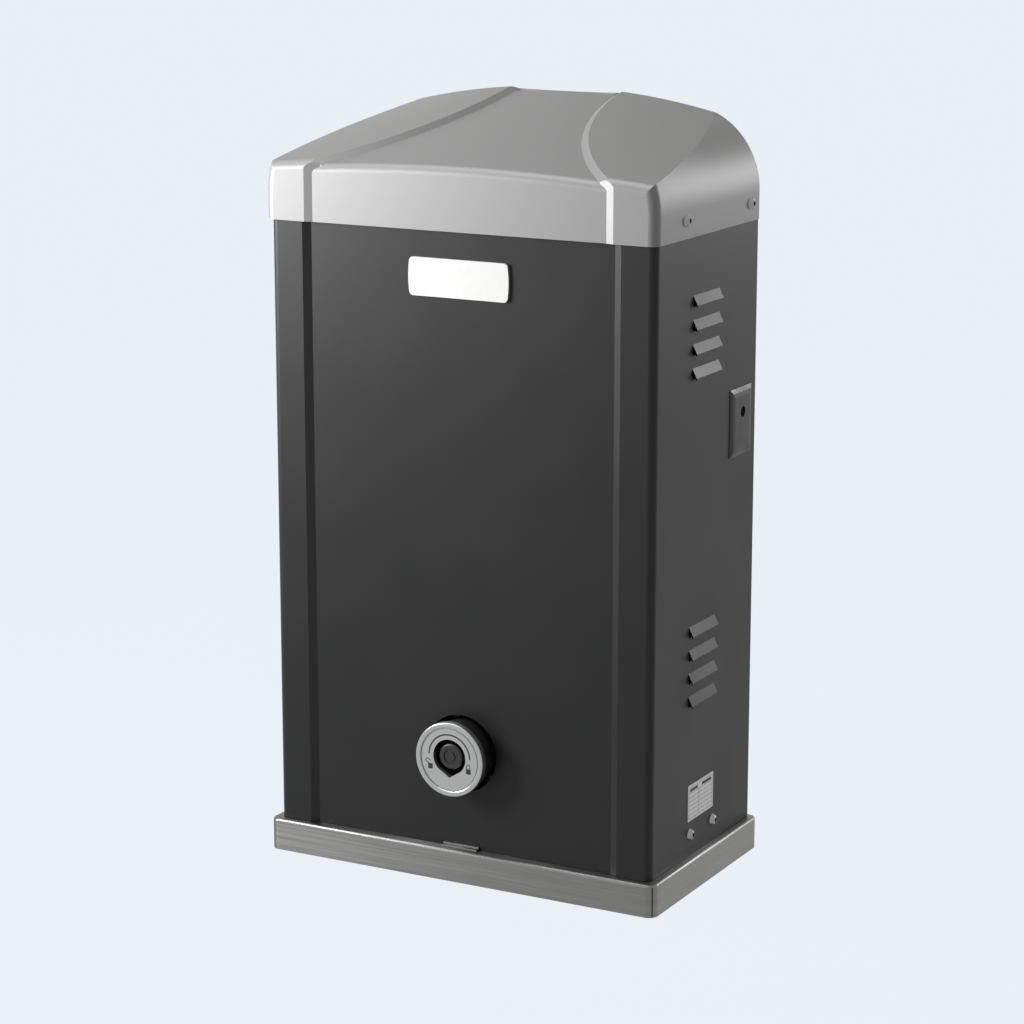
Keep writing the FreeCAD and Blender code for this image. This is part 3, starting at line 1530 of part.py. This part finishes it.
def build_limit_switch():
    box = new_body("limit_switch_box")
    half = d.limit_box_width / 2
    low = d.limit_z - d.limit_box_height / 3
    near = panel_front - d.limit_box_depth
    pad(box, "Y", near, panel_front, rectangle(-half, low, half, low + d.limit_box_height))
    fillet(box, d.limit_box_corner, along("Y"))
    inside = near + d.limit_box_wall
    pocket(box, "Y", inside, panel_front + 1,
           circle(0, d.limit_z, d.limit_shaft + 2 * d.running_fit))

    hub = new_body("limit_lever_hub")
    place(hub, 0, 0, d.limit_z)
    start = panel_rear + d.limit_hub_gap
    pad(hub, "Y", start, start + d.limit_hub_length, circle(0, 0, d.limit_hub))
    rod(hub, "Y", inside + 1, start, d.limit_shaft)
    middle = start + d.limit_hub_length / 2
    lever = new_body("limit_lever_rod")
    place(lever, 0, middle, d.limit_z)
    rod(lever, "Z", d.limit_hub / 2, d.limit_hub / 2 + d.limit_rod_length, d.limit_rod)


def build_pinion():
    body = new_body("drive_pinion")
    place(body, 0, 0, d.release_z)
    pitch_radius = d.pinion_module * d.pinion_teeth / 2
    tip = pitch_radius + d.pinion_module
    root = pitch_radius - 1.25 * d.pinion_module
    bore = d.output_shaft / 2 + d.running_fit
    turned(body, "Y", (pinion_front, bore), (pinion_rear, bore), (pinion_rear, tip),
           (pinion_front, tip))
    half_gap = PI * d.pinion_module / 4
    low = half_gap - 1.25 * d.pinion_module * 0.30
    high = half_gap + 2.0 * d.pinion_module * 0.42
    outside = pitch_radius + 2 * d.pinion_module
    pocket(body, "Y", pinion_front - 1, pinion_rear + 1,
           polygon((-low, root), (low, root), (high, outside), (-high, outside)))
    polar(body, "Y", d.pinion_teeth)
    retainer = new_body("pinion_retainer")
    place(retainer, 0, 0, d.release_z)
    ring(retainer, "Y", pinion_rear, pinion_rear + d.retainer_washer,
         d.output_shaft + 2 * d.retainer_reach, d.retainer_screw)
    pad(retainer, "Y", pinion_rear, pinion_rear + d.retainer_height,
        regular(0, 0, d.retainer_head))


build_cabinet_shell()
build_roof_cap()
build_badge_and_label()
build_cover_fixings()
build_side_lock()
build_lock_catch()
build_plinth_skirt()
build_base_plate()
build_rear_panel()
build_shelf()
build_control_unit()
build_power_supply()
build_gearbox()
build_output_train()
build_worm()
build_motor()
build_release()
build_limit_switch()
build_pinion()

# ---------------------------------------------------------------- check and write

doc.recompute()
for item in doc.Objects:
    if "Invalid" in item.State or "Error" in item.State:
        raise ValueError("%s did not build: %s" % (item.Label, item.State))
os.makedirs("parts", exist_ok=True)
for item in parts:
    if item.Shape.isNull() or not item.Shape.isValid():
        raise ValueError(item.Label + " has no valid shape")
    item.Shape.exportStep("parts/%s.step" % item.Label)
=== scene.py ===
import math

import bmesh
import bpy
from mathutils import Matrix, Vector


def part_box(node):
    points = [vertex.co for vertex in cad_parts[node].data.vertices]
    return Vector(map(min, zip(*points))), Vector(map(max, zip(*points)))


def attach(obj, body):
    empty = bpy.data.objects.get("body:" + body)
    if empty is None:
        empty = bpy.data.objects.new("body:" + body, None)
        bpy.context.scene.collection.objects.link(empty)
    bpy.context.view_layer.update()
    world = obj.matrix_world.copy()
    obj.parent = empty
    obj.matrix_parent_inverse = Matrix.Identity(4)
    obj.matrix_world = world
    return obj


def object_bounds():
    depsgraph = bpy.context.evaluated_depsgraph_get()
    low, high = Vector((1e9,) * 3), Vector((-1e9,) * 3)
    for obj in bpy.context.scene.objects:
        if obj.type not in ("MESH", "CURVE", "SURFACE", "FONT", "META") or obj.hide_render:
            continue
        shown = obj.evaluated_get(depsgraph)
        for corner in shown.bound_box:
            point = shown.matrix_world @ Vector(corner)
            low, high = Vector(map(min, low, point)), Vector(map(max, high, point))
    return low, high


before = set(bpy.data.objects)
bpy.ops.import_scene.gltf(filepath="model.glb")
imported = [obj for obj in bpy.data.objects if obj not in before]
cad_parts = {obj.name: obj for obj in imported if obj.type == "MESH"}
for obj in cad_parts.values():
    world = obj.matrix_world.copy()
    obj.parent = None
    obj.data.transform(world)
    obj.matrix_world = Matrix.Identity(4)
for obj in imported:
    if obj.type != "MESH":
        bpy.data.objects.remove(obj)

# A sliding gate motor: graphite cabinet, silver roof cap, brushed plinth, and the drive inside.
# Metres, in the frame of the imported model: +X right, +Y towards the gate, +Z up.

cad_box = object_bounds()
MM = 0.001

# ---------------------------------------------------------------- colours and node helpers


def srgb(code):
    """A hex colour as the linear colour that a shader takes."""
    channels = [int(code[start:start + 2], 16) / 255 for start in (1, 3, 5)]
    linear = [c / 12.92 if c <= 0.04045 else ((c + 0.055) / 1.055) ** 2.4 for c in channels]
    return (*linear, 1)


def add_node(tree, kind, settings=None, **inputs):
    """A node of a material, with its settings, and its inputs as numbers or as links."""
    node = tree.nodes.new("ShaderNode" + kind)
    for name, value in (settings or {}).items():
        setattr(node, name, value)
    for name, value in inputs.items():
        socket = node.inputs[int(name[1:])] if name[1:].isdigit() else node.inputs[name]
        if isinstance(value, bpy.types.NodeSocket):
            tree.links.new(value, socket)
        else:
            socket.default_value = value
    return node


def new_finish(name, colour, roughness, **sockets):
    """A material with one shader, whose constants are set on the shader's own sockets."""
    material = bpy.data.materials.new(name)
    material.use_nodes = True
    tree = material.node_tree
    tree.nodes.clear()
    shader = add_node(tree, "BsdfPrincipled")
    shader.inputs["Base Color"].default_value = srgb(colour)
    shader.inputs["Roughness"].default_value = roughness
    for socket, value in sockets.items():
        shader.inputs[socket.replace("_", " ")].default_value = value
    add_node(tree, "OutputMaterial", Surface=shader.outputs["BSDF"])
    return material, tree, shader


def noise(tree, size, detail=2.0, stretch=(1, 1, 1)):
    """Noise whose features are size metres across, longer along an axis by its stretch."""
    place = add_node(tree, "TexCoord").outputs["Object"]
    scale = tuple(1 / (size * factor) for factor in stretch)
    scaled = add_node(tree, "VectorMath", {"operation": "MULTIPLY"}, _0=place, _1=scale)
    pattern = add_node(tree, "TexNoise", Vector=scaled.outputs[0], Scale=1.0, Detail=detail)
    return pattern.outputs["Fac"]


def between(tree, fac, low, high, start=0.3, end=0.7):
    """The pattern's values from start to end, spread between two others."""
    spread = add_node(tree, "MapRange", Value=fac)
    for name, value in zip(("From Min", "From Max", "To Min", "To Max"), (start, end, low, high)):
        spread.inputs[name].default_value = value
    return spread.outputs["Result"]


def mottle(tree, shader, fac, dark, light):
    """Let the colour wander between two near shades."""
    mix = add_node(tree, "Mix", {"data_type": "RGBA"}, _0=fac, _6=srgb(dark), _7=srgb(light))
    tree.links.new(mix.outputs[2], shader.inputs["Base Color"])


def rough(tree, shader, fac, low, high):
    """Let the roughness wander between two values."""
    tree.links.new(between(tree, fac, low, high), shader.inputs["Roughness"])


def relief(tree, shader, *layers):
    """Bump from (pattern, height in metres) layers, laid one over the other."""
    normal = None
    for fac, height in layers:
        bump = add_node(tree, "Bump", Height=fac, Distance=height, Strength=1.0)
        if normal:
            tree.links.new(normal, bump.inputs["Normal"])
        normal = bump.outputs["Normal"]
    tree.links.new(normal, shader.inputs["Normal"])


# ---------------------------------------------------------------- finishes


def powder_coat():
    """Polyester powder coat on sheet steel: sprayed and baked, so its skin is a satin one with
    a faint orange peel about 1.5 mm across and a slightly uneven sheen."""
    material, tree, shader = new_finish("powder_coat_graphite", "#171819", 0.42,
                                        Specular_IOR_Level=0.32)
    peel = noise(tree, 1.5 * MM, 1.0)
    fine = noise(tree, 0.35 * MM, 2.0)
    cloud = noise(tree, 90 * MM, 2.0)
    mottle(tree, shader, cloud, "#161718", "#19191b")
    rough(tree, shader, cloud, 0.40, 0.46)
    relief(tree, shader, (peel, 0.010 * MM), (fine, 0.004 * MM))
    return material


def silver_texture():
    """Metallic structure paint on a moulded cap: a silver-grey skin with a fine grain of
    about 0.5 mm, matt enough that highlights spread wide."""
    material, tree, shader = new_finish("structure_paint_silver", "#8c8c8c", 0.46, Metallic=0.35)
    grain = noise(tree, 0.5 * MM, 3.0)
    flake = noise(tree, 0.16 * MM, 0.0)
    mottle(tree, shader, between(tree, flake, 0, 1), "#848484", "#959595")
    rough(tree, shader, grain, 0.44, 0.54)
    relief(tree, shader, (grain, 0.030 * MM))
    return material


def brushed_stainless():
    """Stainless sheet, belt-brushed along its length: fine scratches about 0.16 mm apart that
    run level round the plinth and stretch each highlight."""
    material, tree, shader = new_finish("stainless_brushed", "#7c7c7b", 0.34, Metallic=1.0,
                                        Anisotropic=0.8, Anisotropic_Rotation=0.25)
    streak = noise(tree, 0.16 * MM, 3.0, (400, 400, 1))
    broad = noise(tree, 2.5 * MM, 2.0, (60, 60, 1))
    mottle(tree, shader, between(tree, streak, 0, 1), "#70706f", "#898988")
    rough(tree, shader, broad, 0.32, 0.44)
    relief(tree, shader, (streak, 0.006 * MM))
    return material


def badge_enamel():
    """White gloss badge face under a clear coat, smooth but for the faintest ripple."""
    material, tree, shader = new_finish("badge_white_gloss", "#f2f2f0", 0.16, Coat_Weight=0.6,
                                        Coat_Roughness=0.05)
    ripple = noise(tree, 6 * MM, 1.0)
    mottle(tree, shader, ripple, "#eeeeec", "#f6f6f4")
    relief(tree, shader, (ripple, 0.008 * MM))
    return material


def label_foil():
    """Matt aluminium foil label with a fine rolled grain."""
    material, tree, shader = new_finish("foil_matt", "#c9cacb", 0.38, Metallic=0.7)
    grain = noise(tree, 0.12 * MM, 2.0, (1, 60, 1))
    mottle(tree, shader, grain, "#c2c3c4", "#d2d3d4")
    relief(tree, shader, (grain, 0.003 * MM))
    return material


def zinc_hardware():
    """Bright zinc plating on cold-formed screws: a neutral grey, with soft patches in its gloss."""
    material, tree, shader = new_finish("zinc_bright", "#929394", 0.24, Metallic=1.0)
    patch = noise(tree, 1.2 * MM, 3.0)
    mottle(tree, shader, patch, "#868788", "#a0a1a2")
    rough(tree, shader, patch, 0.18, 0.34)
    relief(tree, shader, (patch, 0.006 * MM))
    return material


def zinc_sheet():
    """Galvanised sheet: spangles about 6 mm across, each with its own shade and dullness."""
    material, tree, shader = new_finish("galvanised_sheet", "#a7abae", 0.4, Metallic=0.9)
    place = add_node(tree, "TexCoord").outputs["Object"]
    cells = add_node(tree, "TexVoronoi", Vector=place, Scale=1 / (6 * MM)).outputs["Color"]
    shade = add_node(tree, "SeparateColor", Color=cells).outputs[0]
    mottle(tree, shader, shade, "#a0a2a3", "#abadae")
    rough(tree, shader, shade, 0.38, 0.46)
    relief(tree, shader, (noise(tree, 0.6 * MM, 2.0), 0.006 * MM))
    return material


def black_moulding(name, colour, roughness):
    """Glass-filled nylon, spark-eroded in the mould: a dull black with a fine leathery grain."""
    material, tree, shader = new_finish(name, colour, roughness)
    grain = noise(tree, 0.3 * MM, 3.0)
    wide = noise(tree, 14 * MM, 2.0)
    rough(tree, shader, wide, roughness - 0.05, roughness + 0.08)
    relief(tree, shader, (grain, 0.012 * MM))
    return material


def lock_metal_painted_dark():
    """Turned lock barrel, coloured near black as painted shade for the inside of its recess, with a
    fine mottled grain.
    """
    material, tree, shader = new_finish("lock_barrel_painted_shade", "#1b1b1c", 0.34, Metallic=0.8)
    turning = noise(tree, 0.2 * MM, 2.0)
    mottle(tree, shader, turning, "#141415", "#262627")
    relief(tree, shader, (turning, 0.004 * MM))
    return material


def release_lacquer():
    """Silver lacquer over a moulded disc: bright, smooth, with very fine metal flake."""
    material, tree, shader = new_finish("silver_lacquer", "#b4b5b6", 0.28, Metallic=0.75,
                                        Coat_Weight=0.3, Coat_Roughness=0.12)
    flake = noise(tree, 0.12 * MM, 0.0)
    mottle(tree, shader, between(tree, flake, 0, 1), "#a9aaab", "#c1c2c3")
    relief(tree, shader, (noise(tree, 0.5 * MM, 2.0), 0.004 * MM))
    return material


def cast_metal(name, dark, light, metallic, roughness):
    """Sand or pressure casting: a grainy skin of about 0.8 mm with broad shallow waves."""
    material, tree, shader = new_finish(name, light, roughness, Metallic=metallic)
    grain = noise(tree, 0.8 * MM, 4.0)
    wave = noise(tree, 25 * MM, 2.0)
    mottle(tree, shader, wave, dark, light)
    rough(tree, shader, grain, roughness - 0.06, roughness + 0.12)
    relief(tree, shader, (wave, 0.12 * MM), (grain, 0.05 * MM))
    return material


def machined(name, dark, light, roughness):
    """Turned, ground or hobbed metal: fine tool marks about 0.2 mm apart, and a thin oil film."""
    material, tree, shader = new_finish(name, light, roughness, Metallic=1.0)
    marks = noise(tree, 0.2 * MM, 2.0)
    film = noise(tree, 8 * MM, 3.0)
    mottle(tree, shader, film, dark, light)
    rough(tree, shader, film, roughness - 0.07, roughness + 0.10)
    relief(tree, shader, (marks, 0.004 * MM))
    return material


def lamination():
    """A stack of 0.5 mm electrical sheets: thin dark lines between the edges of the sheets."""
    material, tree, shader = new_finish("sheet_stack", "#5b5b5e", 0.5, Metallic=0.7)
    layers = noise(tree, 0.5 * MM, 0.0, (200, 200, 1))
    mottle(tree, shader, between(tree, layers, 0, 1, 0.4, 0.6), "#3a3a3d", "#6c6c70")
    relief(tree, shader, (layers, 0.02 * MM))
    return material


def enamelled_copper():
    """Wound enamelled wire, 0.8 mm thick, under brown varnish."""
    material, tree, shader = new_finish("copper_winding", "#8a4a26", 0.32, Metallic=0.6)
    turns = noise(tree, 0.8 * MM, 1.0, (30, 30, 1))
    mottle(tree, shader, between(tree, turns, 0, 1), "#5f2f18", "#b0683a")
    relief(tree, shader, (turns, 0.15 * MM))
    return material


def case_plastic():
    """Light grey ABS case, moulded with a fine matt grain."""
    material, tree, shader = new_finish("abs_light_grey", "#b6b8b6", 0.5)
    grain = noise(tree, 0.4 * MM, 3.0)
    mottle(tree, shader, noise(tree, 60 * MM), "#b2b4b2", "#babcba")
    relief(tree, shader, (grain, 0.015 * MM))
    return material


def circuit_board():
    """Green solder resist over copper tracks that show as paler, slightly raised ground."""
    material, tree, shader = new_finish("solder_resist_green", "#14452a", 0.3, Coat_Weight=0.4)
    tracks = noise(tree, 3 * MM, 0.0, (1, 1, 8))
    mottle(tree, shader, between(tree, tracks, 0, 1, 0.46, 0.54), "#0f3822", "#1d5a36")
    relief(tree, shader, (tracks, 0.03 * MM))
    return material


def seal_rubber():
    """Nitrile rubber: a soft black with a dusty bloom."""
    material, tree, shader = new_finish("nitrile_black", "#191919", 0.6)
    bloom = noise(tree, 2 * MM, 3.0)
    mottle(tree, shader, bloom, "#151515", "#222223")
    relief(tree, shader, (bloom, 0.02 * MM))
    return material


def print_ink():
    """Pad-printed matt ink, a few hundredths of a millimetre thick, slightly broken up."""
    material, tree, shader = new_finish("ink_black", "#151515", 0.55)
    broken = noise(tree, 0.15 * MM, 2.0)
    mottle(tree, shader, broken, "#101010", "#1d1d1e")
    relief(tree, shader, (broken, 0.004 * MM))
    return material


FINISHES = {
    "cabinet_paint": powder_coat(),
    "cap_finish": silver_texture(),
    "stainless": brushed_stainless(),
    "badge_white": badge_enamel(),
    "label_foil": label_foil(),
    "zinc_screws": zinc_hardware(),
    "black_plastic": black_moulding("nylon_black", "#202022", 0.42),
    # The lock barrel's near-black colour is painted shade for the inside of its recess.
    "lock_chrome": lock_metal_painted_dark(),
    "release_silver": release_lacquer(),
    "cast_aluminium": cast_metal("die_cast_aluminium", "#86888b", "#9c9ea0", 0.8, 0.42),
    "cast_base": cast_metal("painted_casting", "#2b2c2e", "#353638", 0.0, 0.5),
    "bronze": machined("bronze_hobbed", "#8d6527", "#b08436", 0.3),
    "gear_steel": machined("steel_turned", "#84878a", "#a2a5a8", 0.26),
    "zinc_sheet": zinc_sheet(),
    "laminations": lamination(),
    "copper": enamelled_copper(),
    "case_grey": case_plastic(),
    "board_green": circuit_board(),
    "seal_rubber": seal_rubber(),
}
INK = print_ink()

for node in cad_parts.values():
    for place in node.material_slots:
        place.material = FINISHES[place.material.name]

# ---------------------------------------------------------------- mesh helpers


def piece(name, mesh, body, material):
    """Make an object of a bmesh, with its body and its material."""
    data = bpy.data.meshes.new(name)
    mesh.normal_update()
    mesh.to_mesh(data)
    mesh.free()
    made = bpy.data.objects.new(name, data)
    bpy.context.collection.objects.link(made)
    data.materials.append(material)
    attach(made, body)
    return made


def plate(mesh, outline, back, front, to_3d):
    """A thin solid from an outline of (across, up) points between two depths."""
    rows = [[mesh.verts.new(to_3d(a, b, depth)) for a, b in outline] for depth in (back, front)]
    count = len(outline)
    for index in range(count):
        after = (index + 1) % count
        mesh.faces.new((rows[0][index], rows[0][after], rows[1][after], rows[1][index]))
    mesh.faces.new(rows[1])
    mesh.faces.new(rows[0][::-1])


def box_outline(low_a, low_b, high_a, high_b):
    """A rectangle from its low corner to its high one."""
    return [(low_a, low_b), (high_a, low_b), (high_a, high_b), (low_a, high_b)]


def arc(centre, radius, start, end, count):
    """Points along an arc, its angles in degrees."""
    points = []
    for step in range(count + 1):
        angle = math.radians(start + (end - start) * step / count)
        points.append((centre[0] + radius * math.cos(angle), centre[1] + radius * math.sin(angle)))
    return points


def band_of_arc(centre, radius, width, start, end, count):
    """The outline of a stripe that follows an arc."""
    outer = arc(centre, radius + width / 2, start, end, count)
    inner = arc(centre, radius - width / 2, start, end, count)
    return outer + inner[::-1]


# ---------------------------------------------------------------- printed marks and the cap's seam

INK_THICKNESS = 0.03 * MM


def turned_about(pivot, degrees, outline):
    """An outline turned about a point."""
    c, s = math.cos(math.radians(degrees)), math.sin(math.radians(degrees))
    return [(pivot[0] + (a - pivot[0]) * c - (b - pivot[1]) * s,
             pivot[1] + (a - pivot[0]) * s + (b - pivot[1]) * c) for a, b in outline]


def padlock(middle, shackle_turn):
    """The outlines of a padlock whose shackle is turned open about its left foot."""
    size, stroke = 4.6 * MM, 0.7 * MM
    shackle_radius, leg = 1.5 * MM, 2.4 * MM
    left, top = middle[0] - shackle_radius, middle[1] + size / 2
    block = box_outline(middle[0] - size / 2, middle[1] - size / 2, middle[0] + size / 2, top)
    bow = band_of_arc((middle[0], top + leg), shackle_radius, stroke, 0, 180, 14)
    legs = [box_outline(x - stroke / 2, top, x + stroke / 2, top + leg)
            for x in (left, middle[0] + shackle_radius)]
    return [block] + [turned_about((left, top), shackle_turn, outline)
                      for outline in [bow] + legs]


def release_marks():
    """The printed arc and the open and closed padlocks beside the release opening."""
    face_depth = 1.0 * MM
    arc_radius, arc_width = 19.7 * MM, 1.3 * MM
    padlock_across, padlock_drop, open_turn = 18.3 * MM, 10 * MM, 60
    disc_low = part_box("release_bezel")[0]
    knob_low, knob_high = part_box("release_cylinder")
    centre = ((knob_low.x + knob_high.x) / 2, (knob_low.z + knob_high.z) / 2)
    face = disc_low.y + face_depth

    def on_disc(across, up, depth):
        return Vector((across, depth, up))

    mesh = bmesh.new()
    outlines = [band_of_arc(centre, arc_radius, arc_width, 178, 2, 48)]
    for side, turn in ((-1, open_turn), (1, 0)):
        outlines += padlock((centre[0] + side * padlock_across, centre[1] - padlock_drop), turn)
    for outline in outlines:
        plate(mesh, outline, face, face - INK_THICKNESS, on_disc)
    bmesh.ops.recalc_face_normals(mesh, faces=mesh.faces)
    piece("release_marks", mesh, "base", INK)


def label_rules():
    """A blank table on the rating label: a frame, a header strip and empty ruled rows."""
    margin, line, rows = 2 * MM, 0.3 * MM, 6
    header_height, column_share = 5 * MM, 0.42
    bar_inset, bar_lift, bar_drop, bar_gap = 2 * MM, 1 * MM, 1.5 * MM, 6 * MM
    low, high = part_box("rating_label")
    face = high.x
    left, right = low.y + margin, high.y - margin
    bottom, top = low.z + margin, high.z - margin

    def on_label(across, up, depth):
        return Vector((depth, across, up))

    header = top - header_height
    column = left + (right - left) * column_share
    bar_low, bar_high = header + bar_lift, top - bar_drop
    outlines = [box_outline(left, bottom, right, bottom + line),
                box_outline(left, top - line, right, top),
                box_outline(left, bottom, left + line, top),
                box_outline(right - line, bottom, right, top),
                box_outline(column, bottom, column + line, header),
                box_outline(left + bar_inset, bar_low, column - bar_inset, bar_high),
                box_outline(column + bar_gap, bar_low, right - bar_inset, bar_high)]
    for row in range(rows):
        level = bottom + (header - bottom) * (row + 1) / rows
        outlines.append(box_outline(left, level - line, right, level))
    mesh = bmesh.new()
    for outline in outlines:
        plate(mesh, outline, face, face + INK_THICKNESS, on_label)
    bmesh.ops.recalc_face_normals(mesh, faces=mesh.faces)
    piece("label_rules", mesh, "cover", INK)


def cap_seam_bead():
    """A bead in the cap's own finish, over the open seam between its roof and its rear wall."""
    half_length, radius = 48.5 * MM, 1.6 * MM
    seam_depth, middle_height = 97.2 * MM, 654.1 * MM
    seam_radius = 1900 * MM
    spans, sides = 24, 10
    mesh = bmesh.new()
    rings = []
    for step in range(spans + 1):
        across = half_length * (2 * step / spans - 1)
        height = middle_height + across ** 2 / (2 * seam_radius)
        rings.append([mesh.verts.new((across, seam_depth + radius * math.cos(angle),
                                      height + radius * math.sin(angle)))
                      for angle in (2 * math.pi * side / sides for side in range(sides))])
    for ring, following in zip(rings, rings[1:]):
        for side in range(sides):
            after = (side + 1) % sides
            mesh.faces.new((ring[side], ring[after], following[after], following[side]))
    mesh.faces.new(rings[0])
    mesh.faces.new(rings[-1])
    bmesh.ops.recalc_face_normals(mesh, faces=mesh.faces)
    made = piece("cap_seam_bead", mesh, "cover", FINISHES["cap_finish"])
    for face in made.data.polygons:
        face.use_smooth = True


release_marks()
label_rules()
cap_seam_bead()

# ---------------------------------------------------------------- floor, light and camera

BACKDROP = "#ebf0f6"
MIRRORED = "#e6e6e4"
FLOOR_BOUNCE = "#6c7074"
FLOOR_HALF_WIDTH = 30
SHADOW_SHARE = 0.06
FLOOR_GLOW = 1.05
ROOM_LIGHT = 0.12

VIEW_AZIMUTH, VIEW_ELEVATION = 28.47, 12.99
VIEW_TARGET = Vector((50.8, -98, 329.0)) * MM
VIEW_DISTANCE = 2.5
LENS, SENSOR = 106.9, 36

# A lamp's place, the point that it faces, its side in metres and its power in watts.
LAMPS = {
    "key": ((-0.9, -0.7, 0.66), (-0.1, -0.1, 0.5), 0.5, 21),
    "side": ((0.95, 1.5, 0.78), (0.18, 0, 0.5), 0.5, 7.5),
    "top": ((-0.4, -0.35, 1.9), (0.05, 0, 0.6), 1.0, 12),
}


def looked_at(tree):
    """1 for rays that see the backdrop: straight from the eye, by a reflection or through glass."""
    path = add_node(tree, "LightPath").outputs
    either = add_node(tree, "Math", {"operation": "MAXIMUM"}, _0=path["Is Camera Ray"],
                      _1=path["Is Glossy Ray"]).outputs[0]
    return add_node(tree, "Math", {"operation": "MAXIMUM"}, _0=either,
                    _1=path["Is Transmission Ray"]).outputs[0]


def backdrop_colour(tree):
    """The cool paper of the backdrop as it is seen, and a neutral one where it is mirrored."""
    straight = add_node(tree, "LightPath").outputs["Is Camera Ray"]
    return add_node(tree, "Mix", {"data_type": "RGBA"}, _0=straight, _6=srgb(MIRRORED),
                    _7=srgb(BACKDROP)).outputs[2]


def build_floor():
    """A plain pale floor that runs out of view, with a soft contact shadow."""
    mesh = bmesh.new()
    bmesh.ops.create_grid(mesh, x_segments=1, y_segments=1, size=FLOOR_HALF_WIDTH)
    data = bpy.data.meshes.new("floor")
    mesh.to_mesh(data)
    mesh.free()
    floor = bpy.data.objects.new("floor", data)
    bpy.context.collection.objects.link(floor)
    floor.location.z = cad_box[0].z
    material = bpy.data.materials.new("studio_floor")
    material.use_nodes = True
    tree = material.node_tree
    tree.nodes.clear()
    pale = backdrop_colour(tree)
    paper = add_node(tree, "BsdfDiffuse", Color=srgb(FLOOR_BOUNCE))
    glow = add_node(tree, "Emission", Color=pale, Strength=FLOOR_GLOW)
    share = add_node(tree, "MixShader", Fac=SHADOW_SHARE, _1=glow.outputs[0], _2=paper.outputs[0])
    mix = add_node(tree, "MixShader", Fac=looked_at(tree), _1=paper.outputs[0],
                   _2=share.outputs[0])
    add_node(tree, "OutputMaterial", Surface=mix.outputs[0])
    data.materials.append(material)


def build_world():
    """A dim even studio that the camera sees as the pale backdrop."""
    world = bpy.data.worlds.new("studio")
    bpy.context.scene.world = world
    world.use_nodes = True
    tree = world.node_tree
    tree.nodes.clear()
    room = add_node(tree, "Background", Color=srgb("#ffffff"), Strength=ROOM_LIGHT)
    paper = add_node(tree, "Background", Color=backdrop_colour(tree), Strength=1.0)
    mix = add_node(tree, "MixShader", Fac=looked_at(tree), _1=room.outputs[0],
                   _2=paper.outputs[0])
    add_node(tree, "OutputWorld", Surface=mix.outputs[0])


def aim(obj, target):
    """Turn a lamp or camera to look at a point."""
    obj.rotation_euler = (Vector(target) - obj.location).to_track_quat("-Z", "Y").to_euler()


def softbox(name, location, target, size, power):
    """A square soft light."""
    light = bpy.data.lights.new(name, "AREA")
    light.size = size
    light.energy = power
    lamp = bpy.data.objects.new(name, light)
    bpy.context.collection.objects.link(lamp)
    lamp.location = location
    aim(lamp, target)


def build_camera():
    """A long lens to the right of the front and a little above."""
    azimuth, elevation = math.radians(VIEW_AZIMUTH), math.radians(VIEW_ELEVATION)
    away = Vector((math.sin(azimuth) * math.cos(elevation),
                   -math.cos(azimuth) * math.cos(elevation), math.sin(elevation)))
    camera = bpy.data.objects.new("camera", bpy.data.cameras.new("camera"))
    bpy.context.collection.objects.link(camera)
    camera.location = VIEW_TARGET + away * VIEW_DISTANCE
    aim(camera, VIEW_TARGET)
    camera.data.lens = LENS
    camera.data.sensor_width = SENSOR
    bpy.context.scene.camera = camera


build_floor()
build_world()
build_camera()
for name, (location, target, size, power) in LAMPS.items():
    softbox(name, location, target, size, power)
bpy.context.scene.view_settings.view_transform = "Standard"
